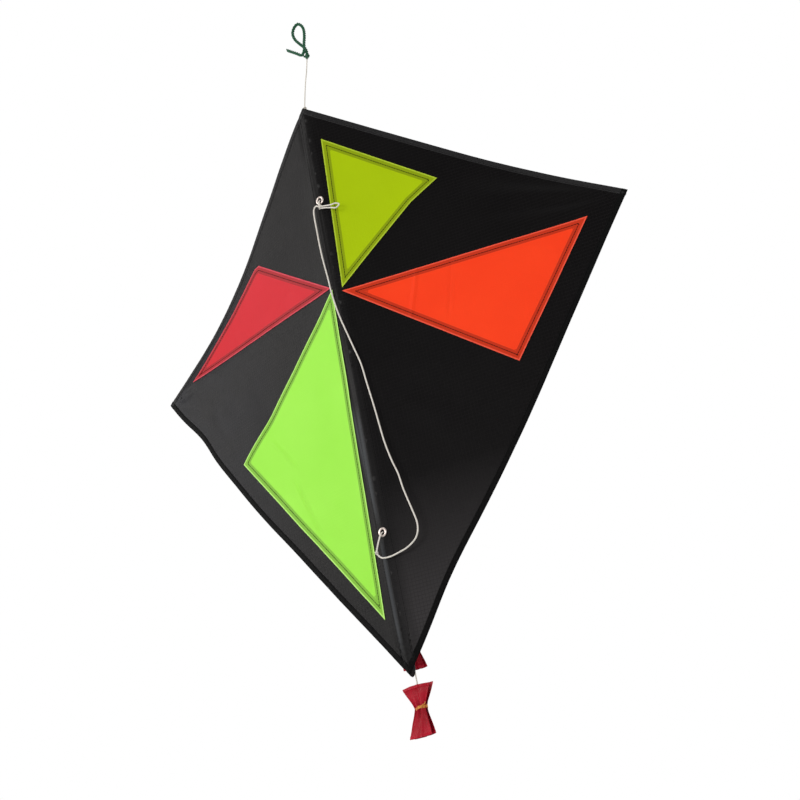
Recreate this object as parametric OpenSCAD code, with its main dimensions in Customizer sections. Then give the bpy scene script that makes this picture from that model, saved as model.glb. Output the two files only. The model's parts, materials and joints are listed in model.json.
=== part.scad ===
// Diamond kite, hanging by its nose: nylon sail in two halves on a spine and two half spars,
// four coloured window panels, a two point bridle, a hanging loop and a tail of two bows.
// Millimetres. Origin at the nose, +Z up along the spine, +X along the right spar, -Y is the
// front of the kite, which carries the bridle. The wings set back towards +Y.

/* [Frame] */
// Length of the sail along the spine, nose to tail
spine_len = 720; // [640:10:800]
// Length of each half spar, spine to wing tip
wing_span = 360; // [320:5:400]
// Drop of the spar crossing below the nose
cross_drop = 252; // [230:2:270]
// Angle that each wing sets back at rest
dihedral = 14; // [8:1:18]
// Diameter of the spine rod
spine_d = 5; // [4:0.5:5]
// Diameter of each half spar
spar_d = 4; // [3:0.5:4]

/* [Sail] */
// Thickness of the sail cloth
sail_t = 0.4; // [0.3:0.1:0.5]
// Thickness of a coloured panel
panel_t = 0.3; // [0.2:0.1:0.3]
// Width of the hem binding along each edge
hem_w = 7; // [5:1:9]
// Hollow of each leading edge, at its middle
lead_hollow = 5; // [0:1:8]
// Fullness of each trailing edge, at its middle
trail_fullness = 4; // [0:1:8]

/* [Bridle] */
// Drop of the upper eyelet below the nose
upper_eyelet_drop = 131; // [120:1:150]
// Drop of the lower eyelet below the nose
lower_eyelet_drop = 557; // [545:1:565]
// Outer diameter of each eyelet
eyelet_d = 11; // [9:0.5:12]
// Diameter of the bridle cord
cord_d = 2; // [1.5:0.1:2.2]

/* [Tail] */
// Drop of the tail tab's eye below the nose
tab_drop = 638; // [630:1:645]
// Height of a tail bow above its tie
bow_up = 25; // [20:1:26]
// Height of a tail bow below its tie
bow_down = 31; // [26:1:32]

/* [Hidden] */
$fn = 48;

// Radial layout about the spine rod's axis, on which the wings turn
rod_r = spine_d / 2;
sleeve_r = 4.4;        // outside of the sleeve, collars and knuckles
sleeve_bore_r = 3.4;   // inside of the cloth sleeve
sail_back = 4.8;       // back face of the sail cloth, in front of the axis
sail_front = sail_back + sail_t;
edge_gap = 0.2;        // from the axis to the inner edge of each half
run_gap = 0.06;        // radial running clearance of a knuckle on the rod
clear = 0.3;           // free space between pieces that move apart
rim_r = 1.3;           // half round rim of an eyelet
barrel_r = 3.4;        // outside of an eyelet's barrel
barrel_wall = 0.4;
barrel_back = 0.7;     // reach of a barrel behind the eyelet's rim
hem_back = sail_back - 0.05;   // back face of a hem binding
hem_front = sail_front + 0.45; // and its front face
pocket_back = 3.4;     // back face of a wing tip pocket, behind the axis
pocket_gap = 0.1;      // from a wing tip pocket to the cloth in front of it
spine_cap_len = 16;
cap_wall = 0.5;
cap_end = 1.2;         // from the sail's point to the closed end of a spine cap
cap_floor = 0.8;
end_pocket_len = 9;    // pocket at the nose and at the tail
end_pocket_over = 0.8; // its reach beyond the sail's point
end_pocket_floor = 1.8;
end_pocket_bore_r = rod_r + 0.6;

// Fitting where the spars meet the spine
knuckle_h = 9;
spacer_h = 7.4;
collar_h = 6;
fitting_top = spacer_h / 2 + 2 * clear + knuckle_h + collar_h; // half height of the fitting
socket_r = spar_d / 2 + 1.6;
spar_in = 9;           // inner end of each spar, out from the axis
spar_out = wing_span - 6;
socket_len = 34;
web_t = 3.6;           // web that joins a knuckle to its socket
web_in = sleeve_r + 0.4;
web_len = 6;
root_in = rod_r + 1;   // root of the web, inside the knuckle
root_len = 3;
cap_r = spar_d / 2 + 0.7;
cap_len = 12;
cap_tip = 1;           // closed end of a spar cap

// Tail layout, behind the sail and a little to the left of the spine
tail_x = -5;
tail_y = 14;
tab_t = 3;
tab_eye_r = 2.4;
tab_end_r = 4.5;
tab_foot_y = 3;        // where the tab's foot meets the sleeve
tab_foot_h = 16;
ring_r = 6;            // tail ring, centre of its wire
ring_wire = 0.8;
line_d = 1.8;
loop_r = 2.2;          // eye of the tail line round the ring
loop_wire = 0.7;
ring_low = -tab_drop - 2 * ring_r;
bow_1_z = -681;
bow_2_z = -754;
split_z = -722;        // where the tail line bends between the two bows
split_gap = 1;         // from that bend to the end of either length of line
line_end = 7.5;        // reach of the line below the lower bow's tie
end_knot_r = 1.9;
bow_t = 8;
pinch_w = 13;
tie_h = 3.5;
tie_wall = 0.6;
upper_bow = [30, 28, -2]; // width at the top, width at the bottom, sideways lean of the bottom
lower_bow = [37, 30, -6];
lower_bow_bore_r = 2.3;
hanger_d = 1.6;
hang_loop_d = 3.6;

// Outline corners of one wing in its own plane: out from the spine, and up
nose = [0, 0];
tip = [wing_span, -cross_drop];
tail = [0, -spine_len];

// Coloured panels in the wing's own plane, corners going round
yellow_pts = [[15, -50], [148, -156], [110, -175], [6, -252]];
orange_pts = [[5, -256], [309, -267], [195, -410]];
red_pts = [[8, -246], [132, -154], [141, -155], [304, -242]];
green_pts = [[6, -258], [225, -389], [21, -652]];

// Wing tip pocket in the wing's plane, from the wing tip
tip_pocket_pts = [[-26, 9], [-6, 4.2], [-3.5, 3], [-3.5, -3], [-6, -4.2], [-26, -11]];
tip_bore_in = 27;      // where the spar enters the pocket, in from the wing tip

// Knots: centre and radius
knot_upper = [[0.5, -9, -141.5], 3];
knot_lower = [[-11, -9, -578.5], 2.4];
knot_nose = [[0, 0, 3.4], 2.6];
knot_loop = [[12, 8, 77], 4];
knot_end = [[tail_x, tail_y, bow_2_z - line_end - 0.1 - end_knot_r], end_knot_r];

// Free cords: points of each route, in order
bridle_route = [
    [0, -9, -141], [-5, -9, -138], [-9, -9, -142], [-10, -9, -153], [-10, -9, -170],
    [-10, -9, -190], [-9, -9, -212], [-7, -9, -235], [-6, -9, -252], [-4, -9, -270],
    [0, -9, -292], [9, -9, -328], [16, -9, -356], [19, -9, -382], [23, -9, -416],
    [27, -9, -456], [32, -9, -482], [37, -9, -500], [40, -9, -520], [46, -9, -546],
    [49, -9, -562], [47, -9, -573], [41, -9, -580], [30, -9, -585], [18, -9, -587],
    [6, -9, -588], [-5, -9, -586], [-11, -9, -579]
];
tow_route = [
    [1, -9, -141], [9, -10, -144], [18, -11, -147], [25, -12, -148.5], [30, -12, -152],
    [25, -12, -154.5], [18, -11, -151], [9, -10, -146.6], [1, -9, -143.6]
];
hanger_route = [[0, 0, 4], [2, 2, 20], [5, 4, 38], [9, 6, 56], [12, 8, 74]];
hang_loop_route = [
    [12, 8, 75], [13, 9, 84], [10, 10, 93], [4, 10, 102], [-1, 9, 111], [-2, 8, 120],
    [2, 8, 127], [8, 8, 129], [13, 8, 124], [16, 7, 116], [16, 6, 106], [14, 5, 95],
    [13, 4, 85], [8, 4, 80], [0, 4, 87], [-11, 4, 97]
];
tie_upper_route = [[0, -5, -131], [0, -7.5, -132.5], [0, -9, -136], [0, -9, -141]];
tie_lower_route = [[0, -5, -557], [-1, -8, -559], [-5, -9, -566], [-11, -9, -578]];

// ---- Helpers ----

function unit(v) = v / norm(v);

// Point at fraction f between p1 and p2 of a smooth curve through four points
function smooth(p0, p1, p2, p3, f) =
    0.5 * (2 * p1 + (p2 - p0) * f + (2 * p0 - 5 * p1 + 4 * p2 - p3) * f * f
        + (3 * p1 - p0 - 3 * p2 + p3) * f * f * f);

// Smooth route through points, with steps samples to each span
function route(pts, steps) = [
    for (i = [0 : len(pts) - 2], s = [0 : steps - 1])
        smooth(pts[max(i - 1, 0)], pts[i], pts[i + 1], pts[min(i + 2, len(pts) - 1)], s / steps),
    pts[len(pts) - 1]
];

// Round tube of diameter d along a route; across is a direction that the route never takes
module cord(pts, d, steps = 1, across = [0, 1, 0], sides = 8) {
    line = route(pts, steps);
    last = len(line) - 1;
    rings = [for (i = [0 : last])
        let (t = unit(line[min(i + 1, last)] - line[max(i - 1, 0)]),
             a = unit(cross(t, across)), b = cross(a, t))
        for (k = [0 : sides - 1])
            line[i] + d / 2 * (cos(360 * k / sides) * a + sin(360 * k / sides) * b)];
    walls = [for (i = [0 : last - 1], k = [0 : sides - 1])
        let (n = (k + 1) % sides)
        [i * sides + k, i * sides + n, (i + 1) * sides + n, (i + 1) * sides + k]];
    start = [for (k = [sides - 1 : -1 : 0]) k];
    end = [for (k = [0 : sides - 1]) last * sides + k];
    polyhedron(rings, concat([start], walls, [end]), convexity = 8);
}

// Points along an edge from a to b that bows sideways by sag at its middle
function bowed(a, b, sag, n = 8) =
    let (side = unit([b.y - a.y, a.x - b.x]))
    [for (i = [0 : n]) let (f = i / n) a + (b - a) * f + side * sag * 4 * f * (1 - f)];

// Places a wing's pieces: local X runs out along the wing, local -Y is its front
module right_wing() { rotate([0, 0, dihedral]) children(); }
module left_wing() { mirror([1, 0, 0]) rotate([0, 0, dihedral]) children(); }

// Flat piece in the wing's plane, from back to front in front of the axis
module flat(back, front) {
    translate([0, -back, 0]) rotate([90, 0, 0]) linear_extrude(front - back) children();
}

// Outline of one half of the sail, with its hollow leading and full trailing edge
module half_outline() {
    intersection() {
        polygon(concat(bowed(nose, tip, lead_hollow), bowed(tip, tail, -trail_fullness)));
        translate([edge_gap, -spine_len]) square([wing_span, spine_len]);
    }
}

// Band of width w inside the edge from a to b, running past both ends
module band(a, b, sag, w) {
    over = 40;
    beyond = 12;
    dir = unit(b - a);
    side = [dir.y, -dir.x];
    ends = concat([a - over * dir], bowed(a, b, sag), [b + over * dir]);
    last = len(ends) - 1;
    polygon(concat([for (i = [0 : last]) ends[i] - beyond * side],
                   [for (i = [last : -1 : 0]) ends[i] + w * side]));
}
module lead_band() { band(nose, tip, lead_hollow, hem_w); }
module trail_band() { band(tip, tail, -trail_fullness, hem_w); }

module half_sail() {
    flat(sail_back, sail_front) difference() {
        half_outline();
        lead_band();
        trail_band();
        for (drop = [upper_eyelet_drop, lower_eyelet_drop])
            translate([0, -drop]) circle(r = barrel_r + 2 * clear);
    }
}

// Folded binding sewn over a raw edge, a little thicker than the sail
module upper_hem() {
    flat(hem_back, hem_front) intersection() { half_outline(); lead_band(); }
}
module lower_hem() {
    flat(hem_back, hem_front) difference() {
        intersection() { half_outline(); trail_band(); }
        lead_band();
    }
}

module panel(pts) { flat(sail_front, sail_front + panel_t) polygon(pts); }

// Along a wing's spar: local X out, at the crossing's height
module at_spar() { translate([0, 0, -cross_drop]) children(); }
module along_x(x0, x1, r) { translate([x0, 0, 0]) rotate([0, 90, 0]) cylinder(r = r, h = x1 - x0); }

module half_spar() { at_spar() along_x(spar_in, spar_out, spar_d / 2); }

module half_spar_cap() {
    at_spar() difference() {
        along_x(spar_out - cap_len, spar_out + cap_tip, cap_r);
        along_x(spar_out - cap_len - 1, spar_out, spar_d / 2);
    }
}

// Cloth pocket behind the wing tip that takes the capped end of the spar
module tip_pocket() {
    difference() {
        flat(-pocket_back, sail_back - pocket_gap) translate([wing_span, -cross_drop])
            polygon(tip_pocket_pts);
        at_spar() along_x(wing_span - tip_bore_in, spar_out + cap_tip, cap_r + run_gap / 2);
    }
}

// Socket of one half spar, with a knuckle that turns on the spine rod; up is 1 above, -1 below
module spar_socket(up) {
    at_spar() mirror([0, 0, up < 0 ? 1 : 0]) difference() {
        union() {
            translate([0, 0, spacer_h / 2 + clear]) cylinder(r = sleeve_r, h = knuckle_h);
            translate([web_in, -web_t / 2, 0]) cube([web_len, web_t, spacer_h / 2 + clear + knuckle_h]);
            translate([root_in, -web_t / 2, spacer_h / 2 + clear]) cube([root_len, web_t, knuckle_h]);
            along_x(spar_in - 2, socket_len, socket_r);
        }
        cylinder(r = rod_r + run_gap, h = 4 * knuckle_h, center = true);
        along_x(spar_in, socket_len + 1, spar_d / 2);
    }
}

// Ring round the spine rod, from height z0 to z1
module rod_ring(z0, z1, r_out, r_in) {
    translate([0, 0, z0]) difference() {
        cylinder(r = r_out, h = z1 - z0);
        translate([0, 0, -1]) cylinder(r = r_in, h = z1 - z0 + 2);
    }
}

// Blind cup round the spine rod's axis: open at z_open, floor of thickness t ending at z_end
module rod_cup(z_open, z_end, r_out, r_in, t) {
    up = z_end > z_open ? 1 : -1;
    translate([0, 0, z_open]) mirror([0, 0, up < 0 ? 1 : 0]) difference() {
        cylinder(r = r_out, h = abs(z_end - z_open));
        translate([0, 0, -1]) cylinder(r = r_in, h = abs(z_end - z_open) + 1 - t);
    }
}

module eyelet(drop) {
    translate([0, -sail_front - clear, -drop]) rotate([90, 0, 0]) {
        rotate_extrude() intersection() {
            translate([eyelet_d / 2 - rim_r, 0]) circle(r = rim_r);
            square([eyelet_d, rim_r]);
        }
        translate([0, 0, -barrel_back]) difference() {
            cylinder(r = barrel_r, h = barrel_back + 0.1);
            translate([0, 0, -1]) cylinder(r = barrel_r - barrel_wall, h = barrel_back + 2);
        }
    }
}

module knot(k) { translate(k[0]) sphere(r = k[1]); }

// Ribbon bow seen from the front, cinched at its tie, with the line's bore down its middle
module bow(z, shape, bore_r) {
    top_w = shape[0];
    low_w = shape[1];
    lean = shape[2];
    translate([tail_x, tail_y, z]) difference() {
        translate([0, bow_t / 2, 0]) rotate([90, 0, 0]) linear_extrude(bow_t) polygon([
            [-top_w / 2, bow_up], [top_w / 2, bow_up],
            [pinch_w / 2, tie_h / 2], [pinch_w / 2, -tie_h / 2],
            [low_w / 2 + lean, -bow_down], [-low_w / 2 + lean, -bow_down],
            [-pinch_w / 2, -tie_h / 2], [-pinch_w / 2, tie_h / 2]]);
        cylinder(r = bore_r, h = 3 * bow_down, center = true);
    }
}

module bow_tie(z) {
    translate([tail_x, tail_y, z]) linear_extrude(tie_h, center = true) difference() {
        square([pinch_w + 2 * tie_wall, bow_t + 2 * tie_wall], center = true);
        square([pinch_w, bow_t], center = true);
    }
}

// ---- Spine ----

module spine_rod() {
    color("#cfc4a0") translate([0, 0, -spine_len + 2]) cylinder(r = rod_r, h = spine_len - 4);
}
module spine_cap_nose() {
    color("#202020") rod_cup(-spine_cap_len, -cap_end, rod_r + cap_wall, rod_r, cap_floor);
}
module spine_cap_tail() {
    color("#202020")
        rod_cup(spine_cap_len - spine_len, cap_end - spine_len, rod_r + cap_wall, rod_r, cap_floor);
}
module nose_pocket() {
    color("#1c1a1a")
        rod_cup(-end_pocket_len, end_pocket_over, sleeve_r, end_pocket_bore_r, end_pocket_floor);
}
module tail_pocket() {
    color("#1c1a1a") rod_cup(end_pocket_len - spine_len, -end_pocket_over - spine_len,
                             sleeve_r, end_pocket_bore_r, end_pocket_floor);
}
module spine_sleeve_upper() {
    color("#1c1a1a")
        rod_ring(fitting_top - cross_drop + clear, -end_pocket_len, sleeve_r, sleeve_bore_r);
}
module spine_sleeve_lower() {
    color("#1c1a1a") rod_ring(end_pocket_len - spine_len, -fitting_top - cross_drop - clear,
                              sleeve_r, sleeve_bore_r);
}
module collar_upper() {
    top = fitting_top - cross_drop;
    color("#303030") rod_ring(top - collar_h, top, sleeve_r, rod_r);
}
module collar_lower() {
    low = -fitting_top - cross_drop;
    color("#303030") rod_ring(low, low + collar_h, sleeve_r, rod_r);
}
module socket_spacer() {
    middle = -cross_drop;
    color("#303030") rod_ring(middle - spacer_h / 2, middle + spacer_h / 2, sleeve_r - 0.2, rod_r);
}

// ---- Bridle, hanging loop and tail tab ----

module eyelet_upper() { color("#c8beb4") eyelet(upper_eyelet_drop); }
module eyelet_lower() { color("#c8beb4") eyelet(lower_eyelet_drop); }
module bridle_tie_upper() { color("#e6e2d6") cord(tie_upper_route, cord_d, 1, [1, 0, 0]); }
module bridle_knot_upper() { color("#e6e2d6") knot(knot_upper); }
module tow_loop() { color("#e6e2d6") cord(tow_route, cord_d); }
module bridle_line() { color("#e6e2d6") cord(bridle_route, cord_d, 2); }
module bridle_knot_lower() { color("#e6e2d6") knot(knot_lower); }
module bridle_tie_lower() { color("#e6e2d6") cord(tie_lower_route, cord_d, 1, [1, 0, 0]); }
module hanger_knot() { color("#e6e2d6") knot(knot_nose); }
module hanger_cord() { color("#e6e2d6") cord(hanger_route, hanger_d); }
module hang_loop_knot() { color("#0f5a34") knot(knot_loop); }
module hang_loop() { color("#0f5a34") cord(hang_loop_route, hang_loop_d); }

// Webbing tab sewn to the back of the lower sleeve, with an eye for the tail ring
module tail_tab() {
    color("#1c1a1a") difference() {
        union() {
            translate([tail_x - tab_t / 2, tab_foot_y, -tab_drop - tab_foot_h / 2])
                cube([tab_t - tail_x, tab_t, tab_foot_h]);
            translate([tail_x - tab_t / 2, tab_foot_y + 1, -tab_drop - tab_end_r])
                cube([tab_t, tail_y - tab_foot_y - 1, 2 * tab_end_r]);
            translate([tail_x - tab_t / 2, tail_y, -tab_drop]) rotate([0, 90, 0])
                cylinder(r = tab_end_r, h = tab_t);
        }
        translate([0, 0, -tab_drop - tab_foot_h]) cylinder(r = sleeve_r, h = 2 * tab_foot_h);
        translate([tail_x - tab_t, tail_y, -tab_drop]) rotate([0, 90, 0])
            cylinder(r = tab_eye_r, h = 2 * tab_t);
    }
}

// ---- Left wing ----

module sail_left() { color("#1c1a1a") left_wing() half_sail(); }
module panel_red() { color("#d23a44") left_wing() panel(red_pts); }
module panel_green() { color("#a8ec62") left_wing() panel(green_pts); }
module hem_upper_left() { color("#141212") left_wing() upper_hem(); }
module hem_lower_left() { color("#141212") left_wing() lower_hem(); }
module tip_pocket_left() { color("#181616") left_wing() tip_pocket(); }
module spar_left() { color("#cfc4a0") left_wing() half_spar(); }
module spar_cap_left() { color("#202020") left_wing() half_spar_cap(); }
module spar_socket_left() { color("#303030") left_wing() spar_socket(1); }

// ---- Right wing ----

module sail_right() { color("#1c1a1a") right_wing() half_sail(); }
module panel_yellow() { color("#a5c800") right_wing() panel(yellow_pts); }
module panel_orange() { color("#f04a1e") right_wing() panel(orange_pts); }
module hem_upper_right() { color("#141212") right_wing() upper_hem(); }
module hem_lower_right() { color("#141212") right_wing() lower_hem(); }
module tip_pocket_right() { color("#181616") right_wing() tip_pocket(); }
module spar_right() { color("#cfc4a0") right_wing() half_spar(); }
module spar_cap_right() { color("#202020") right_wing() half_spar_cap(); }
module spar_socket_right() { color("#303030") right_wing() spar_socket(-1); }

// ---- Tail ----

module tail_ring() {
    color("#b8b8bc") translate([tail_x, tail_y, -tab_drop - ring_r]) rotate([90, 0, 0])
        rotate_extrude() translate([ring_r, 0]) circle(r = ring_wire);
}
module tail_line_loop() {
    color("#e6e2d6") translate([tail_x, tail_y, ring_low]) rotate([0, 90, 0])
        rotate_extrude() translate([loop_r, 0]) circle(r = loop_wire);
}
module tail_line_upper() {
    color("#e6e2d6") cord([[tail_x, tail_y, ring_low - loop_r - loop_wire], [tail_x, tail_y, bow_1_z],
                           [tail_x, tail_y, split_z + split_gap]], line_d);
}
module tail_bow_upper() { color("#a0162c") bow(bow_1_z, upper_bow, line_d / 2); }
module tail_tie_upper() { color("#e08a28") bow_tie(bow_1_z); }
module tail_line_lower() {
    color("#e6e2d6") cord([[tail_x, tail_y, split_z - split_gap], [tail_x, tail_y, bow_2_z],
                           [tail_x, tail_y, bow_2_z - line_end]], line_d);
}
module tail_end_knot() { color("#e6e2d6") knot(knot_end); }
module tail_bow_lower() { color("#a0162c") bow(bow_2_z, lower_bow, lower_bow_bore_r); }
module tail_tie_lower() { color("#e08a28") bow_tie(bow_2_z); }

spine_rod();
spine_cap_nose();
spine_cap_tail();
spine_sleeve_upper();
spine_sleeve_lower();
nose_pocket();
tail_pocket();
collar_upper();
collar_lower();
socket_spacer();
eyelet_upper();
eyelet_lower();
bridle_tie_upper();
bridle_knot_upper();
tow_loop();
bridle_line();
bridle_knot_lower();
bridle_tie_lower();
hanger_knot();
hanger_cord();
hang_loop_knot();
hang_loop();
tail_tab();
sail_left();
panel_red();
panel_green();
hem_upper_left();
hem_lower_left();
tip_pocket_left();
spar_left();
spar_cap_left();
spar_socket_left();
sail_right();
panel_yellow();
panel_orange();
hem_upper_right();
hem_lower_right();
tip_pocket_right();
spar_right();
spar_cap_right();
spar_socket_right();
tail_ring();
tail_line_loop();
tail_line_upper();
tail_bow_upper();
tail_tie_upper();
tail_line_lower();
tail_end_knot();
tail_bow_lower();
tail_tie_lower();
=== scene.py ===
import json
import math

import bpy
import numpy as np
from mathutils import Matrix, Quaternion, Vector, noise
from mathutils.geometry import delaunay_2d_cdt


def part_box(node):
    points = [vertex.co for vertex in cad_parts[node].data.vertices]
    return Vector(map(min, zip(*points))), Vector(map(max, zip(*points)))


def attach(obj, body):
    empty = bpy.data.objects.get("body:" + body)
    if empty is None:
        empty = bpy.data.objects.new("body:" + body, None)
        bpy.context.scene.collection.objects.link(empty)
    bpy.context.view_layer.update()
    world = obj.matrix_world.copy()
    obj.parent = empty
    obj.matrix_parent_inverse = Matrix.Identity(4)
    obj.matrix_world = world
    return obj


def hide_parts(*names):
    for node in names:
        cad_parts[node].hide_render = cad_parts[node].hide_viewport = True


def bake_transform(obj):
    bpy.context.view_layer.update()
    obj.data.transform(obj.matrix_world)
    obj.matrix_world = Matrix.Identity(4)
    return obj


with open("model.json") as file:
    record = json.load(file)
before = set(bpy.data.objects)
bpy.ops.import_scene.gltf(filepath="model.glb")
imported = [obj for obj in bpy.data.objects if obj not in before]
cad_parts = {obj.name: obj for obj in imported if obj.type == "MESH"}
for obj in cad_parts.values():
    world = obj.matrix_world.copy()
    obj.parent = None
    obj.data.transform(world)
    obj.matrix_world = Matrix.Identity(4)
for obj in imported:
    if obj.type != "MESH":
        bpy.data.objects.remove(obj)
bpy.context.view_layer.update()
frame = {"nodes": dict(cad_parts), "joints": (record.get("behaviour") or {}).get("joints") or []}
scene = bpy.context.scene
scene.view_settings.view_transform = "Standard"


# camera

shot = {"azimuth": 31.16, "elevation": -20.87, "roll": -11.3, "distance": 1.84,
        "aim": (0.025, 0.046, -0.394), "lens": 70.5}


def viewedFrom(azimuth, elevation):
    a, e = math.radians(azimuth), math.radians(elevation)
    return Vector((math.sin(a) * math.cos(e), -math.cos(a) * math.cos(e), math.sin(e)))


def placeCamera():
    data = bpy.data.cameras.new("kiteCamera")
    data.lens = shot["lens"]
    data.clip_end = 80
    camera = bpy.data.objects.new("kiteCamera", data)
    scene.collection.objects.link(camera)
    back = viewedFrom(shot["azimuth"], shot["elevation"])
    camera.location = Vector(shot["aim"]) + back * shot["distance"]
    camera.rotation_mode = "QUATERNION"
    roll = Quaternion(back, math.radians(shot["roll"]))
    camera.rotation_quaternion = roll @ (-back).to_track_quat("-Z", "Y")
    scene.camera = camera


placeCamera()
print("camera placed")


# shader maths: a Wire is a socket that takes part in an expression

class Wire:
    def __init__(self, shader, socket):
        self.shader = shader
        self.socket = socket

    def maths(self, operation, *others):
        return self.shader.node("ShaderNodeMath", {"operation": operation}, [self, *others])

    def __add__(self, other):
        return self.maths("ADD", other)

    def __sub__(self, other):
        return self.maths("SUBTRACT", other)

    def __mul__(self, other):
        return self.maths("MULTIPLY", other)

    def __truediv__(self, other):
        return self.maths("DIVIDE", other)

    def __pow__(self, other):
        return self.maths("POWER", other)

    def __rsub__(self, other):
        return self.shader.node("ShaderNodeMath", {"operation": "SUBTRACT"}, [other, self])

    __radd__ = __add__
    __rmul__ = __mul__

    def clamped(self):
        return self.shader.node("ShaderNodeClamp", {}, {"Value": self})


class Graph:
    def __init__(self, tree):
        self.tree = tree

    def node(self, kind, settings, inputs, output=0):
        made = self.tree.nodes.new(kind)
        for key, value in settings.items():
            setattr(made, key, value)
        named = inputs.items() if isinstance(inputs, dict) else enumerate(inputs)
        for key, value in named:
            socket = made.inputs[key]
            if isinstance(value, Wire):
                self.tree.links.new(value.socket, socket)
            elif socket.type == "RGBA":
                socket.default_value = (*value, 1)
            else:
                socket.default_value = value
        return Wire(self, made.outputs[output]) if len(made.outputs) else None


class Shader(Graph):
    def __init__(self, name):
        self.material = bpy.data.materials.new(name)
        self.material.use_nodes = True
        super().__init__(self.material.node_tree)
        self.tree.nodes.clear()

    def blendColour(self, share, low, high):
        return self.node("ShaderNodeMix", {"data_type": "RGBA"}, {0: share, 6: low, 7: high}, 2)

    def noise(self, where, scale, detail=3, roughness=0.55):
        return self.node("ShaderNodeTexNoise", {},
                         {"Vector": where, "Scale": scale, "Detail": detail, "Roughness": roughness})

    def objectPlace(self):
        return self.node("ShaderNodeTexCoord", {}, {}, 3)

    def clothPlace(self):
        return self.node("ShaderNodeUVMap", {"uv_map": "cloth"}, {})

    def stretched(self, where, scale):
        return self.node("ShaderNodeMapping", {}, {"Vector": where, "Scale": scale})

    def attribute(self, name):
        return self.node("ShaderNodeAttribute", {"attribute_name": name}, {}, 2)

    def parts(self, where):
        made = self.tree.nodes.new("ShaderNodeSeparateXYZ")
        self.tree.links.new(where.socket, made.inputs[0])
        return [Wire(self, made.outputs[i]) for i in range(3)]

    def relief(self, height, distance):
        return self.node("ShaderNodeBump", {}, {"Height": height, "Distance": distance, "Strength": 1.0})

    def principled(self, **sockets):
        names = {"colour": "Base Color", "rough": "Roughness", "metal": "Metallic", "normal": "Normal",
                 "specular": "Specular IOR Level", "sheen": "Sheen Weight", "sheenRough": "Sheen Roughness",
                 "coat": "Coat Weight", "coatRough": "Coat Roughness", "glow": "Emission Strength",
                 "glowColour": "Emission Color"}
        return self.node("ShaderNodeBsdfPrincipled", {}, {names[k]: v for k, v in sockets.items()})

    def finish(self, surface):
        self.node("ShaderNodeOutputMaterial", {}, {"Surface": surface})
        return self.material


# materials

def threads(place, pitch):
    # one wave to each pitch
    return (place * (2 * math.pi / pitch)).maths("SINE")


def weaveOf(u, v, pitch):
    # plain weave: threads over and under, one pitch apart
    return threads(u, pitch) * threads(v, pitch)


def gridOf(u, v, pitch, width):
    # thicker ripstop threads, one pitch apart in both directions
    across = (1 - u.maths("PINGPONG", pitch / 2) / width).clamped()
    along = (1 - v.maths("PINGPONG", pitch / 2) / width).clamped()
    return across.maths("MAXIMUM", along)


def beyond(place, start, over):
    # 0 up to start, then rising to 1 over a stretch
    return ((place - start) / over).clamped()


def creaseHeight(u, v, start, end, width):
    # a sharp ridge in the cloth along one straight line, fading out at its ends
    du, dv = end[0] - start[0], end[1] - start[1]
    size = du * du + dv * dv
    along = ((u - start[0]) * (du / size) + (v - start[1]) * (dv / size)).clamped()
    across = (u - start[0] - along * du) ** 2.0 + (v - start[1] - along * dv) ** 2.0
    fade = (along * (1 - along) * 6.0).clamped()
    return (1 - across.maths("SQRT") / width).clamped() * fade


ripstop = {
    "colour": (0.0016, 0.0013, 0.0014), "thread": (0.0060, 0.0052, 0.0054), "rough": 0.43,
    "grid": 0.0042, "gridWidth": 0.0005, "weave": 0.0009, "depth": 0.00022,
    # specular of a glossy and a duller copy of the cloth; the duller copy is painted shade on the right half
    "satin": 0.088, "dull": 0.036, "dullShare": 0.85, "dullWidth": 0.012,
    "dullBelow": (0.50, 0.14), "dullLoss": 0.75,
    # painted sheen, paler low on the right half: its colour, how soon it rises past the spine, and where it
    # starts below
    "faded": (0.030, 0.027, 0.028), "fadedWidth": 0.02, "fadedBelow": (0.50, 0.16),
    # painted bluish sheen in patches towards the left tip
    "cool": (0.022, 0.023, 0.029), "coolBeyond": (0.12, 0.20),
    # the width of a crease line, then the painted highlights along the creases beside the spine: their colour,
    # the side they keep to and the lines they follow
    "crease": 0.0042, "streak": (0.036, 0.039, 0.043), "streakSide": 0.001,
    "streaks": [((0.0115, -0.385), (0.0030, -0.550)), ((0.0030, -0.400), (0.0040, -0.520)),
                ((0.0035, -0.555), (0.0040, -0.700))],
}


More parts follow.
